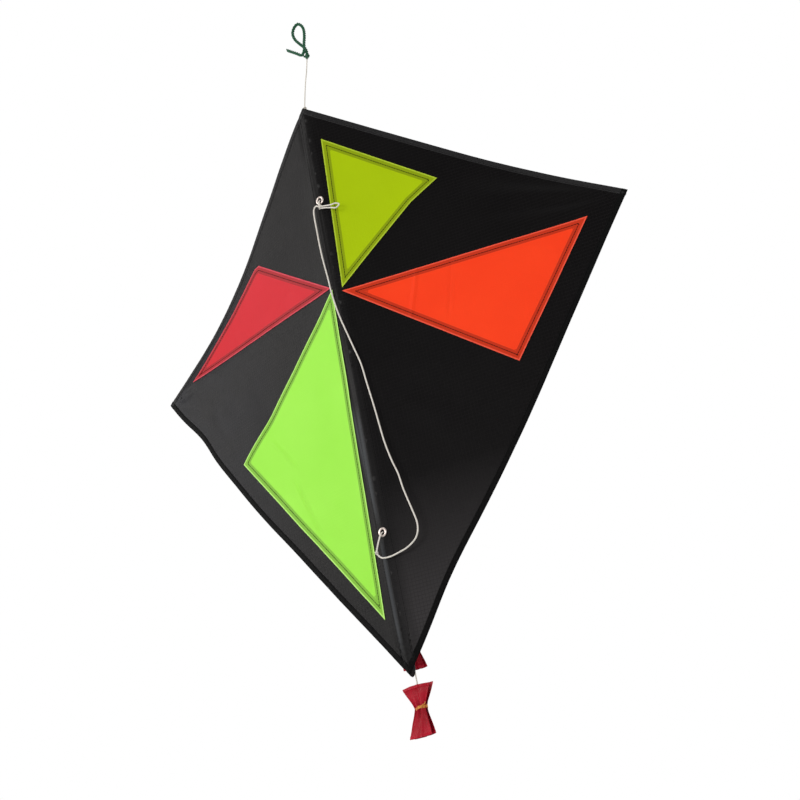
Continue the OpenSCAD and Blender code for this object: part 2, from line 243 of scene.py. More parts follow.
def sailNylon():
    s = Shader("sailNylon")
    u, v, _ = s.parts(s.clothPlace())
    x, _, z = s.parts(s.objectPlace())
    down, leftwards = z * -1.0, x * -1.0
    grid = gridOf(u, v, ripstop["grid"], ripstop["gridWidth"])
    weave = weaveOf(u, v, ripstop["weave"])
    cloud = s.noise(s.objectPlace(), 9.0, 4)
    crumple = s.noise(s.objectPlace(), 70.0, 5, 0.6)
    tone = (grid * 0.55 + cloud * 0.5).clamped()
    colour = s.blendColour(tone, ripstop["colour"], ripstop["thread"])
    # painted sheen set by place: paler low on the right half, and bluish sheen in patches towards the left tip
    faded = (x / ripstop["fadedWidth"]).clamped() * beyond(down, *ripstop["fadedBelow"])
    colour = s.blendColour((faded * (0.5 + cloud * 0.5)).clamped(), colour, ripstop["faded"])
    # painted bluish sheen, in cloudy patches towards the left tip
    cool = beyond(leftwards, *ripstop["coolBeyond"]) * (cloud * 2.6 - 0.9).clamped()
    colour = s.blendColour(cool * 0.8, colour, ripstop["cool"])
    # the ripstop grid stays dark through the painted sheen
    colour = s.blendColour(grid * faded * 0.45, colour, ripstop["colour"])
    # painted highlights on the left half, along the creases beside the spine
    onLeft = (leftwards / ripstop["streakSide"]).clamped()
    for start, end in ripstop["streaks"]:
        streak = creaseHeight(u, v, start, end, ripstop["crease"]) * onLeft
        colour = s.blendColour(streak * 0.9, colour, ripstop["streak"])
    rough = ripstop["rough"] + (cloud - 0.5) * 0.16 + (crumple - 0.5) * 0.05
    normal = s.relief(weave * 0.12 + grid * 0.5 + crumple * 1.2, ripstop["depth"])
    satin = s.principled(colour=colour, rough=rough, normal=normal, specular=ripstop["satin"])
    dull = s.principled(colour=colour, rough=rough, normal=normal, specular=ripstop["dull"])
    # painted shade: the right half takes the duller, less glossy copy so it reads darker, and less of it low
    # down
    lessDull = beyond(down, *ripstop["dullBelow"]) * ripstop["dullLoss"]
    share = (x / ripstop["dullWidth"]).clamped() * (ripstop["dullShare"] - lessDull)
    return s.finish(s.node("ShaderNodeMixShader", {}, [share, satin, dull]))


def plainNylon(name, colour, edge, rough, specular=0.12):
    s = Shader(name)
    place = s.objectPlace()
    x, y, z = s.parts(place)
    weave = weaveOf(x + y, z, ripstop["weave"])
    cloud = s.noise(place, 45.0, 4)
    tone = (cloud * 1.3 - 0.2).clamped()
    height = weave * 0.25 + cloud * 1.0
    return s.finish(s.principled(colour=s.blendColour(tone, colour, edge), rough=rough + (cloud - 0.5) * 0.2,
                                 normal=s.relief(height, 0.0003), specular=specular))


def bindingTape(name, dark, light, specular):
    s = Shader(name)
    u, v, _ = s.parts(s.clothPlace())
    ribs = threads(v, 0.0011) * 0.5 + threads(u, 0.0016) * 0.3
    fuzz = s.noise(s.objectPlace(), 420.0, 4, 0.7)
    worn = s.noise(s.objectPlace(), 60.0, 3)
    tone = (fuzz * 1.5 - 0.45 + worn * 0.3).clamped()
    height = ribs * 0.25 + fuzz * 1.4
    return s.finish(s.principled(colour=s.blendColour(tone, dark, light), rough=0.5 + (fuzz - 0.5) * 0.3,
                                 normal=s.relief(height, 0.0004), specular=specular))


# for each panel: its cloth colour, the darker end of its random tone, a painted highlight for the folded rim,
# and crease lines from, to and height
panelLook = {
    "panel_yellow": {
        "colour": (0.43, 0.575, 0.0006),
        "deep": (0.39, 0.53, 0.0005),
        "fold": (0.40, 0.53, 0.030),
        "creases": []},
    "panel_orange": {
        "colour": (0.92, 0.064, 0.012),
        "deep": (0.86, 0.046, 0.009),
        "fold": (0.80, 0.085, 0.045),
        "creases": [((0.102, -0.255), (0.078, -0.330), 4.5), ((0.147, -0.250), (0.124, -0.345), -4.0)]},
    "panel_red": {
        "colour": (0.66, 0.028, 0.042),
        "deep": (0.61, 0.022, 0.032),
        "fold": (0.62, 0.060, 0.090),
        "creases": [((0.060, -0.190), (0.150, -0.262), 1.75)]},
    "panel_green": {
        "colour": (0.385, 0.82, 0.090),
        "deep": (0.33, 0.76, 0.062),
        "fold": (0.46, 0.82, 0.18),
        "creases": [((0.166, -0.377), (0.119, -0.438), 4.5), ((0.130, -0.443), (0.095, -0.538), -5.0)]},
}
# bands along a panel's edge: distance in from the edge and how softly each one ends
panelBand = {"turning": (0.0088, 0.0006), "inner": (0.0052, 0.0008), "rim": (0.0012, 0.0006),
             "needle": (0.0055, 0.0008), "turningShade": 0.50, "needleShade": 0.25}


def panelNylon(name):
    look = panelLook[name]
    s = Shader(name + "Nylon")
    u, v, _ = s.parts(s.clothPlace())
    gap = s.attribute("edgeGap")
    turning = 1 - beyond(gap, *panelBand["turning"])
    inner = turning * beyond(gap, *panelBand["inner"])
    rim = 1 - beyond(gap, *panelBand["rim"])
    seam, seamWidth = panelBand["needle"]
    needle = (1 - (gap - seam).maths("ABSOLUTE") / seamWidth).clamped()
    grid = gridOf(u, v, ripstop["grid"], ripstop["gridWidth"])
    weave = weaveOf(u, v, ripstop["weave"])
    cloud = s.noise(s.objectPlace(), 11.0, 3)
    crumple = s.noise(s.objectPlace(), 85.0, 4, 0.6)
    tone = (cloud * 1.6 - 0.35 + grid * 0.12).clamped()
    colour = s.blendColour(tone, look["deep"], look["colour"])
    height = weave * 0.12 + grid * 0.4 + crumple * 0.9
    for start, end, rise in look["creases"]:
        height = height + creaseHeight(u, v, start, end, ripstop["crease"]) * rise
    # painted shade over the turning band, where the black sail cloth lies behind the panel, and deeper between
    # the stitch line and the band's inner edge
    turningShadeColour = [c * panelBand["turningShade"] for c in look["deep"]]
    needleColour = [c * panelBand["needleShade"] for c in look["deep"]]
    colour = s.blendColour(turning * 0.85, colour, turningShadeColour)
    colour = s.blendColour(inner * 0.30, colour, turningShadeColour)
    colour = s.blendColour(needle * 0.85, colour, needleColour)
    # painted highlight along the folded rim at the panel's edge
    colour = s.blendColour(rim * 0.9, colour, look["fold"])
    normal = s.relief(height, 0.0002)
    face = s.principled(colour=colour, rough=0.5 + (crumple - 0.5) * 0.1, normal=normal,
                        specular=0.10, sheen=0.02, sheenRough=0.4)
    # light goes in through one face of the cloth and out through the other
    glow = s.node("ShaderNodeBsdfTranslucent", {}, {"Color": [c ** 0.5 for c in look["colour"]]})
    share = 0.36 - turning * 0.26
    return s.finish(s.node("ShaderNodeMixShader", {}, [share, face, glow]))


def cordFibre(name, shadedGroove, crown, rough=0.75, fuzz=900.0):
    s = Shader(name)
    lay = s.attribute("crown")
    fleck = s.noise(s.objectPlace(), fuzz, 3, 0.6)
    # painted shade in the grooves between strands, with the crowns left light
    tone = (lay * 0.85 + (fleck - 0.5) * 0.7).clamped()
    return s.finish(s.principled(colour=s.blendColour(tone, shadedGroove, crown), rough=rough,
                                 normal=s.relief(fleck, 0.00025), specular=0.25, sheen=0.2, sheenRough=0.5))


def satinRibbon():
    s = Shader("satinRibbon")
    u, v, _ = s.parts(s.clothPlace())
    warp = threads(u, 0.0007)
    cloud = s.noise(s.objectPlace(), 55.0, 3)
    hem = s.attribute("edgeGap")
    # painted sheen on the doubled hem band at each end
    hemSheen = 1 - beyond(hem, 0.0028, 0.0004)
    tone = (cloud * 1.4 - 0.2 + hemSheen * 0.25).clamped()
    shade = s.blendColour(tone, (0.21, 0.0022, 0.0065), (0.39, 0.0045, 0.020))
    height = warp * 0.2 + cloud * 1.0
    return s.finish(s.principled(colour=shade, rough=0.4 + (cloud - 0.5) * 0.12, specular=0.11,
                                 normal=s.relief(height, 0.00012)))


def rolledMetal(name, colour, dull, rough):
    s = Shader(name)
    place = s.objectPlace()
    scuff = s.noise(place, 900.0, 4, 0.7)
    cloud = s.noise(place, 260.0, 2)
    tone = (cloud * 1.2 - 0.1).clamped()
    return s.finish(s.principled(colour=s.blendColour(tone, dull, colour), metal=0.85,
                                 rough=rough + (scuff - 0.5) * 0.22, normal=s.relief(scuff, 0.00006)))


rodLook = {"resin": (0.42, 0.36, 0.24), "fibre": (0.66, 0.60, 0.46)}


def rodFibre(name, grain, contrast, low, mottle):
    # drawn glass fibre with its grain along one axis
    s = Shader(name)
    place = s.objectPlace()
    streak = s.noise(s.stretched(place, grain), 1.0, 3, 0.6)
    cloud = s.noise(place, 30.0, 2)
    tone = (streak * contrast - low + (cloud - 0.5) * mottle).clamped()
    return s.finish(s.principled(colour=s.blendColour(tone, rodLook["resin"], rodLook["fibre"]),
                                 rough=0.36 + (streak - 0.5) * 0.2, normal=s.relief(streak, 0.00008),
                                 coat=0.35, coatRough=0.2))


def mouldedPlastic(name, colour, edge, rough, grain):
    s = Shader(name)
    place = s.objectPlace()
    fine = s.noise(place, grain, 3, 0.5)
    cloud = s.noise(place, 120.0, 2)
    tone = (fine * 0.6 + cloud * 0.5).clamped()
    return s.finish(s.principled(colour=s.blendColour(tone, colour, edge), rough=rough + (fine - 0.5) * 0.15,
                                 normal=s.relief(fine, 0.00008), specular=0.45))


def sewingThread():
    s = Shader("sewingThread")
    fleck = s.noise(s.objectPlace(), 1500.0, 2)
    return s.finish(s.principled(colour=s.blendColour(fleck, (0.001, 0.001, 0.001), (0.006, 0.005, 0.005)),
                                 rough=0.75 + (fleck - 0.5) * 0.1, specular=0.03))


finishes = {
    "sail": sailNylon(),
    "tape": bindingTape("bindingTape", (0.0018, 0.0017, 0.0018), (0.018, 0.017, 0.018), 0.13),
    # painted shade: a darker, less glossy copy of the binding tape, for the lower edges
    "darkTape": bindingTape("darkBindingTape", (0.0008, 0.0008, 0.0008), (0.004, 0.004, 0.004), 0.04),
    "pocket": plainNylon("pocketNylon", (0.0034, 0.0031, 0.0032), (0.012, 0.011, 0.0115), 0.5),
    "sleeve": plainNylon("sleeveNylon", (0.0034, 0.0031, 0.0032), (0.010, 0.0092, 0.0095), 0.5),
    "webbing": plainNylon("webbingNylon", (0.004, 0.004, 0.004), (0.014, 0.014, 0.0145), 0.65),
    "thread": sewingThread(),
    "whiteCord": cordFibre("whiteCord", (0.34, 0.30, 0.25), (0.84, 0.81, 0.75)),
    "greenCord": cordFibre("greenCord", (0.001, 0.018, 0.008), (0.012, 0.125, 0.055)),
    "tieCord": cordFibre("tieCord", (0.42, 0.13, 0.012), (0.86, 0.42, 0.06), 0.5),
    "ribbon": satinRibbon(),
    "eyelet": rolledMetal("rolledEyelet", (0.80, 0.71, 0.66), (0.56, 0.47, 0.42), 0.34),
    "ring": rolledMetal("ringWire", (0.62, 0.62, 0.64), (0.42, 0.42, 0.44), 0.3),
    "spineRod": rodFibre("fibreRod", (900.0, 900.0, 12.0), 1.1, 0.1, 0.3),
    "sparRod": rodFibre("sparRod", (12.0, 60.0, 900.0), 1.2, 0.15, 0.0),
    "cap": mouldedPlastic("vinylCap", (0.006, 0.006, 0.006), (0.02, 0.02, 0.02), 0.55, 700.0),
    "fitting": mouldedPlastic("mouldedFitting", (0.014, 0.014, 0.015), (0.035, 0.035, 0.037), 0.42, 1400.0),
}
for panelName in panelLook:
    finishes[panelName] = panelNylon(panelName)
print("materials made")


# mesh building

def piece(name, verts, faces, finish, cloth=None, weights=None, smooth=True):
    # cloth is a UV place in metres for each vertex; weights are named values for each vertex
    mesh = bpy.data.meshes.new(name)
    mesh.from_pydata([tuple(v) for v in verts], [], [tuple(f) for f in faces])
    mesh.update()
    if cloth is not None:
        layer = mesh.uv_layers.new(name="cloth")
        corners = np.zeros(len(mesh.loops), np.int32)
        mesh.loops.foreach_get("vertex_index", corners)
        layer.data.foreach_set("uv", np.asarray(cloth, np.float32)[corners].ravel())
    for key, values in (weights or {}).items():
        mesh.attributes.new(key, "FLOAT", "POINT").data.foreach_set("value", np.asarray(values, np.float32))
    if smooth:
        mesh.polygons.foreach_set("use_smooth", [True] * len(mesh.polygons))
    mesh.materials.append(finishes[finish])
    made = bpy.data.objects.new(name, mesh)
    scene.collection.objects.link(made)
    return made


def middleOf(node):
    low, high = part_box(node)
    return (low + high) / 2


def ringFaces(rings, count, closed=False):
    # quads between neighbouring rings that have count points each
    faces = []
    for i in range(rings if closed else rings - 1):
        a, b = i * count, ((i + 1) % rings) * count
        for k in range(count):
            n = (k + 1) % count
            faces.append((a + k, a + n, b + n, b + k))
    return faces


def fasten(made, body, slot, *nodes):
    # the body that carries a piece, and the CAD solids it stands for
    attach(made, body)
    if nodes:
        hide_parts(*nodes)


def smoothPath(points, steps):
    # a smooth line through every point, the same curve as the CAD routes follow
    pts = [Vector(p) for p in points]
    line = []
    for i in range(len(pts) - 1):
        a, b, c, d = pts[max(i - 1, 0)], pts[i], pts[i + 1], pts[min(i + 2, len(pts) - 1)]
        for s in range(steps):
            f = s / steps
            line.append(0.5 * (2 * b + (c - a) * f + (2 * a - 5 * b + 4 * c - d) * f ** 2
                               + (3 * b - a - 3 * c + d) * f ** 3))
    return line + [pts[-1]]


def evenly(line, gap):
    # the same line with its points one gap apart
    lengths = [0.0]
    for a, b in zip(line, line[1:]):
        lengths.append(lengths[-1] + (b - a).length)
    count = max(2, round(lengths[-1] / gap))
    out, i = [], 0
    for n in range(count + 1):
        want = lengths[-1] * n / count
        while i < len(line) - 2 and lengths[i + 1] < want:
            i += 1
        span = max(lengths[i + 1] - lengths[i], 1e-9)
        out.append(line[i].lerp(line[i + 1], min(1.0, max(0.0, (want - lengths[i]) / span))))
    return out, lengths[-1]


def twistedCord(strands, pitch):
    # three or so round strands laid together
    share = 2 * math.pi / strands

    def shape(angle, along):
        off = (angle - along * 2 * math.pi / pitch + share / 2) % share - share / 2
        strand = math.sin(share / 2) / (1 + math.sin(share / 2))
        middle = 1 - strand
        reach = middle * math.cos(off) + math.sqrt(max(0.0, strand ** 2 - (middle * math.sin(off)) ** 2))
        return reach, max(0.0, (reach - 0.6) / 0.4)
    return shape


def braidedCord(pitch):
    def shape(angle, along):
        lay = along * math.pi / pitch
        lift = abs(math.cos(2 * angle + lay) * math.cos(2 * angle - lay))
        return 0.88 + 0.12 * lift, 0.25 + 0.75 * lift
    return shape


def cordMesh(line, radius, shape, sides, closed=False, taper=None):
    # (verts, faces, cloth places, crown values) of a tube that keeps its twist even along the line
    count = len(line)
    tangents = []
    for i in range(count):
        if closed:
            tangents.append((line[(i + 1) % count] - line[i - 1]).normalized())
        else:
            tangents.append((line[min(i + 1, count - 1)] - line[max(i - 1, 0)]).normalized())
    side = tangents[0].orthogonal().normalized()
    verts, cloth, crowns, along = [], [], [], 0.0
    for i, (p, t) in enumerate(zip(line, tangents)):
        if i:
            along += (p - line[i - 1]).length
            side = (side - t * side.dot(t)).normalized()
        other = t.cross(side)
        thin = taper(i / (count - 1)) if taper else 1.0
        for k in range(sides):
            angle = 2 * math.pi * k / sides
            reach, crown = shape(angle, along)
            r = radius * reach * thin
            verts.append(p + side * (math.cos(angle) * r) + other * (math.sin(angle) * r))
            cloth.append((along, k / sides))
            crowns.append(crown)
    faces = ringFaces(count, sides, closed)
    if not closed:
        for centre, first, flip in ((line[0], 0, True), (line[-1], (count - 1) * sides, False)):
            verts.append(centre)
            cloth.append((along if first else 0.0, 0.5))
            crowns.append(0.5)
            tip = len(verts) - 1
            for k in range(sides):
                n = (k + 1) % sides
                faces.append((tip, first + n, first + k) if flip else (tip, first + k, first + n))
    return verts, faces, cloth, crowns


def cordPiece(name, meshes, finish):
    # one piece from one or more tubes
    verts, faces, cloth, crowns = [], [], [], []
    for v, f, c, w in meshes:
        start = len(verts)
        verts += v
        faces += [tuple(i + start for i in face) for face in f]
        cloth += c
        crowns += w
    return piece(name, verts, faces, finish, cloth, {"crown": crowns})


trefoil = {"points": 96, "spread": 1.6, "rise": 1.5, "reach": 2.9, "sides": 10}


def overhandKnot(centre, size, thread, turn, shape):
    # a small overhand knot pulled tight: its cord runs over and under itself three times
    spread, rise = trefoil["spread"], trefoil["rise"]
    line = []
    for i in range(trefoil["points"]):
        t = 2 * math.pi * i / trefoil["points"]
        loop = Vector((math.sin(t) + spread * math.sin(2 * t), math.cos(t) - spread * math.cos(2 * t),
                       -rise * math.sin(3 * t)))
        line.append(Vector(centre) + turn @ (loop * (size / trefoil["reach"])))
    return cordMesh(line, thread, shape, trefoil["sides"], closed=True)


def knotPiece(name, knot, shape, finish="whiteCord"):
    turn = Quaternion(*knot["turn"])
    return cordPiece(name, [overhandKnot(knot["at"], knot["size"], knot["thread"], turn, shape)], finish)


# cords, with their routes as they lie in the frame

bridle = {
    "diameter": 0.002, "ringGap": 0.0006, "braid": 0.0042,
    "route": [(0, -.009, -.141), (-.005, -.009, -.138), (-.009, -.009, -.142), (-.010, -.009, -.153),
              (-.010, -.009, -.170), (-.010, -.009, -.190), (-.009, -.009, -.212), (-.007, -.009, -.235),
              (-.006, -.009, -.252), (-.004, -.009, -.270), (0, -.009, -.292), (.009, -.009, -.328),
              (.016, -.009, -.356), (.019, -.009, -.382), (.023, -.009, -.416), (.027, -.009, -.456),
              (.032, -.009, -.482), (.037, -.009, -.500), (.040, -.009, -.520), (.046, -.009, -.546),
              (.049, -.009, -.562), (.047, -.009, -.573), (.041, -.009, -.580), (.030, -.009, -.585),
              (.018, -.009, -.587), (.006, -.009, -.588), (-.005, -.009, -.586), (-.011, -.009, -.579)],
    "tow": [(.001, -.009, -.141), (.009, -.010, -.144), (.018, -.011, -.147), (.025, -.012, -.1485),
            (.030, -.012, -.152), (.025, -.012, -.1545), (.018, -.011, -.151), (.009, -.010, -.1466),
            (.001, -.009, -.1436)],
    "tieUpper": [(0, -.005, -.131), (0, -.0075, -.1325), (0, -.009, -.136), (0, -.009, -.141)],
    "tieLower": [(0, -.005, -.557), (-.001, -.008, -.559), (-.005, -.009, -.566), (-.011, -.009, -.578)],
    "tieShare": 0.62, "tieLift": 0.2, "tieGap": 0.0005, "towShare": 0.9,
    "knotUpper": {"at": (.0005, -.009, -.1415), "size": 0.0026, "thread": 0.00086,
                  "turn": ((1, 0.2, 0), 1.2)},
    "knotLower": {"at": (-.011, -.009, -.5785), "size": 0.0019, "thread": 0.00062,
                  "turn": ((1, 0.4, 0), 1.0)},
}


def buildBridle():
    radius = bridle["diameter"] / 2
    weave = braidedCord(bridle["braid"])
    line, length = evenly(smoothPath(bridle["route"], 12), bridle["ringGap"])
    main = cordPiece("bridleLine", [cordMesh(line, radius, weave, 12)], "whiteCord")
    knotUpper = knotPiece("bridleKnotUpper", bridle["knotUpper"], weave)
    knotLower = knotPiece("bridleKnotLower", bridle["knotLower"], weave)
    ties = []
    thin = radius * bridle["tieShare"]
    for name, route in (("bridleTieUpper", bridle["tieUpper"]), ("bridleTieLower", bridle["tieLower"])):
        strands = []
        for shift in (-1, 1):
            offset = Vector((shift * thin, 0, shift * radius * bridle["tieLift"]))
            strand, _ = evenly([p + offset for p in smoothPath(route, 10)], bridle["tieGap"])
            strands.append(cordMesh(strand, thin, weave, 10))
        ties.append(cordPiece(name, strands, "whiteCord"))
    towLine, towLength = evenly(smoothPath(bridle["tow"], 12), bridle["ringGap"])
    tow = cordPiece("towLoop", [cordMesh(towLine, radius * bridle["towShare"], weave, 12)], "whiteCord")
    parts = {main: "bridle_line", knotUpper: "bridle_knot_upper", knotLower: "bridle_knot_lower",
             ties[0]: "bridle_tie_upper", ties[1]: "bridle_tie_lower", tow: "tow_loop"}
    for made, node in parts.items():
        fasten(made, "frame", "white_cord", node)
    print(f"bridle {length:.3f} m, tow loop {towLength:.3f} m")


hanger = {
    "cord": 0.0016, "rope": 0.0036, "lay": 0.0105, "braid": 0.0035, "ringGap": 0.0005, "ropeShare": 0.58,
    "route": [(0, 0, .004), (.002, .002, .020), (.005, .004, .038), (.009, .006, .056), (.012, .008, .074)],
    "loop": [(.012, .008, .075), (.013, .009, .084), (.010, .010, .093), (.004, .010, .102),
             (-.001, .009, .111), (-.002, .008, .120), (.002, .008, .127), (.008, .008, .129),
             (.013, .008, .124), (.016, .007, .116), (.016, .006, .106), (.014, .005, .095),
             (.013, .004, .085), (.008, .004, .080), (0, .004, .087), (-.011, .004, .097)],
    "noseKnot": {"at": (0, 0, .0034), "size": 0.0021, "thread": 0.0008, "turn": ((0, 1, 0.3), 0.7)},
    "loopKnot": {"at": (.012, .008, .0775), "size": 0.0034, "thread": 0.0013, "turn": ((1, 0, 0.2), 1.35)},
    # how far each loose strand lifts and swings, and how thick, coarse and long it is
    "frays": [(0.0016, 0.0006), (-0.0014, 0.0002), (0.0002, -0.0012)],
    "fray": {"radius": 0.0012, "lay": 0.004, "gap": 0.0004, "root": 0.003, "half": 0.0016, "long": 0.0034,
             "shorter": 0.0006, "thinner": 0.45},
}


def frayedEnd(line):
    # the free end of the rope opens into its strands
    fray = hanger["fray"]
    end, before = line[-1], line[-8]
    onward = (end - before).normalized()
    tubes = []
    for n, (lift, swing) in enumerate(hanger["frays"]):
        spread = Vector((0, swing, lift))
        route = [end - onward * fray["root"], end, end + onward * fray["half"] + spread * 0.5,
                 end + onward * (fray["long"] - n * fray["shorter"]) + spread]
        strand, _ = evenly(smoothPath(route, 6), fray["gap"])
        tubes.append(cordMesh(strand, fray["radius"], twistedCord(3, fray["lay"]), 12,
                              taper=lambda f: 1 - fray["thinner"] * f * f))
    return cordPiece("hangLoopFray", tubes, "greenCord")


def buildHanger():
    braid = braidedCord(hanger["braid"])
    rope = twistedCord(3, hanger["lay"])
    line, length = evenly(smoothPath(hanger["route"], 12), hanger["ringGap"])
    link = cordPiece("hangingCord", [cordMesh(line, hanger["cord"] / 2, braid, 10)], "whiteCord")
    noseKnot = knotPiece("hangingCordKnot", hanger["noseKnot"], braid)
    loopLine, loopLength = evenly(smoothPath(hanger["loop"], 12), hanger["ringGap"])
    loopTube = cordMesh(loopLine, hanger["rope"] * hanger["ropeShare"], rope, 24)
    loop = cordPiece("hangLoop", [loopTube], "greenCord")
    fray = frayedEnd(loopLine)
    fasten(fray, "frame", "green_cord")
    loopKnot = knotPiece("hangLoopKnot", hanger["loopKnot"], twistedCord(3, 0.006), "greenCord")
    fasten(link, "frame", "white_cord", "hanger_cord")
    fasten(noseKnot, "frame", "white_cord", "hanger_knot")
    fasten(loop, "frame", "green_cord", "hang_loop")
    fasten(loopKnot, "frame", "green_cord", "hang_loop_knot")
    print(f"hanging cord {length:.3f} m, loop {loopLength:.3f} m")


tail = {
    "line": 0.0018, "loop": 0.0022, "loopCord": 0.0007, "braid": 0.0038, "x": -0.005, "y": 0.014,
    "top": -0.6529, "bend": -0.722, "bendHalf": 0.007, "end": -0.762,
    "topKnot": {"at": (-0.005, 0.014, -0.6535), "size": 0.0015, "thread": 0.0006, "turn": ((0, 1, 0), 0.6)},
    "endKnot": {"at": (-0.005, 0.014, -0.7635), "size": 0.0015, "thread": 0.0006, "turn": ((1, 0, 0), 0.9)},
}


def tailEye(middle, braid):
    # the eye that hangs on the ring, a little out of round
    line = []
    for a in np.linspace(0, 2 * math.pi, 48, endpoint=False):
        line.append(middle + Vector((0.0004 * math.sin(2 * a), math.sin(a) * tail["loop"],
                                     math.cos(a) * tail["loop"] * 1.05)))
    return cordPiece("tailLineLoop", [cordMesh(line, tail["loopCord"], braid, 10, closed=True)], "whiteCord")


def buildTailLine():
    braid = braidedCord(tail["braid"])
    x, y = tail["x"], tail["y"]
    path = [Vector((x, y, z)) for z in np.linspace(tail["top"], tail["end"], 30)]
    line, length = evenly(path, bridle["ringGap"])
    made = cordPiece("tailLine", [cordMesh(line, tail["line"] / 2, braid, 12)], "whiteCord")
    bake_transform(made)
    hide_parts("tail_line_upper", "tail_line_lower")
    loop = tailEye(middleOf("tail_line_loop"), braid)
    fasten(loop, "tail_first", "white_cord", "tail_line_loop")
    knotTop = knotPiece("tailLineKnot", tail["topKnot"], braid)
    fasten(knotTop, "tail_first", "white_cord")
    knotEnd = knotPiece("tailEndKnot", tail["endKnot"], braid)
    fasten(knotEnd, "tail_second", "white_cord", "tail_end_knot")
    print(f"tail line {length:.3f} m")


buildBridle()
buildHanger()
buildTailLine()


# the wings' plan: u runs out from the spine in the wing's own plane, z is the height

joint = {j["name"]: j for j in frame["joints"]}
plan = {"nose": 0.0, "cross": joint["wing_right_flex"]["pos_m"][2],
        "tail": round(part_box("hem_lower_right")[0].z, 3),
        "setBack": math.atan2(middleOf("spar_right").y, middleOf("spar_right").x)}
plan["cloth"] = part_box("spine_sleeve_upper")[1].x + 0.0006   # middle of the cloth, out from the spine's axis
plan["span"] = round((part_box("hem_upper_right")[1].x - 0.0056 * math.sin(plan["setBack"]))
                     / math.cos(plan["setBack"]), 3)
plan["hollow"] = 0.0045
plan["fullness"] = 0.003
noseAt, tipAt = (0.0, plan["nose"]), (plan["span"], plan["cross"])
innerEdge = -plan["setBack"] * plan["cloth"]     # the two halves meet here, on the spine's centre line
print("plan", {k: round(v, 4) for k, v in plan.items()})
# a slack edge: where along it, how wide and how far inwards it waves
slack = {"left": [(0.16, 0.065, 0.0050), (0.45, 0.10, -0.0022)],
         "right": [(0.46, 0.15, -0.0028), (0.80, 0.11, 0.0048)]}

billow = {"back": {"left": 0.0185, "right": 0.0140}, "backRise": 2.12, "backFall": 1.3, "forward": 0.005,
          "forwardRise": 0.95, "forwardFall": 1.25, "reach": 1.3}

# folds in the cloth: side, from and to in the wing's plan, height towards the front, half width
folds = [
    ("left", (.010, -.010), (.0085, -.085), -.0013, .0026),
    ("left", (.016, -.030), (.030, -.150), .0006, .0070),
    ("left", (.003, -.014), (.004, -.075), .0007, .0030),
    ("right", (.006, -.010), (.010, -.060), -.0008, .0030),
    ("left", (.004, -.715), (.007, -.660), -.0016, .0022),
    ("left", (.001, -.700), (.001, -.640), .0006, .0022),
    ("right", (.004, -.712), (.006, -.655), -.0015, .0020),
    ("right", (.008, -.705), (.013, -.660), .0009, .0022),
    ("left", (.336, -.253), (.295, -.252), -.0020, .0052),
    ("left", (.334, -.262), (.290, -.285), .0011, .0080),
    ("left", (.330, -.247), (.270, -.236), .0009, .0080),
    ("right", (.336, -.251), (.250, -.232), -.0012, .0080),
    ("right", (.300, -.228), (.165, -.182), .0012, .0100),
    ("right", (.300, -.225), (.170, -.150), -.0009, .0090),
    ("right", (.300, -.245), (.160, -.212), -.0010, .0090),
    ("left", (.004, -.562), (.005, -.640), .0006, .0030),
    ("left", (.011, -.380), (.014, -.540), .0007, .0028),
    ("left", (.006, -.330), (.007, -.520), -.0006, .0026),
    ("left", (.120, -.520), (.225, -.400), .0007, .0100),
    ("left", (.050, -.600), (.190, -.440), -.0006, .0120),
    ("left", (.110, -.060), (.170, -.180), .0012, .0220),
    ("left", (.180, -.300), (.110, -.470), -.0014, .0260),
    ("left", (.260, -.300), (.180, -.430), .0014, .0240),
    ("right", (.100, -.261), (.078, -.330), .0005, .0022),
    ("right", (.145, -.260), (.125, -.345), .0005, .0022),
    ("right", (.060, -.420), (.150, -.500), .0010, .0240),
    ("right", (.020, -.560), (.090, -.500), -.0009, .0160),
]


def softStep(low, high, value):
    t = min(1.0, max(0.0, (value - low) / (high - low)))
    return t * t * (3 - 2 * t)


def foldHeight(fold, u, z):
    _, (u0, z0), (u1, z1), height, width = fold
    du, dz = u1 - u0, z1 - z0
    size = du * du + dz * dz
    f = ((u - u0) * du + (z - z0) * dz) / size
    if f < -0.15 or f > 1.2:
        return 0.0
    away = abs((u - u0) * dz - (z - z0) * du) / math.sqrt(size)
    spread = width * (0.55 + 0.75 * max(0.0, min(1.0, f)))
    if away > 3 * spread:
        return 0.0
    return height * math.exp(-(away / spread) ** 2) * softStep(-0.15, 0.1, f) * (1 - softStep(0.45, 1.2, f))


sideFolds = {side: [f for f in folds if f[0] == side] for side in ("left", "right")}


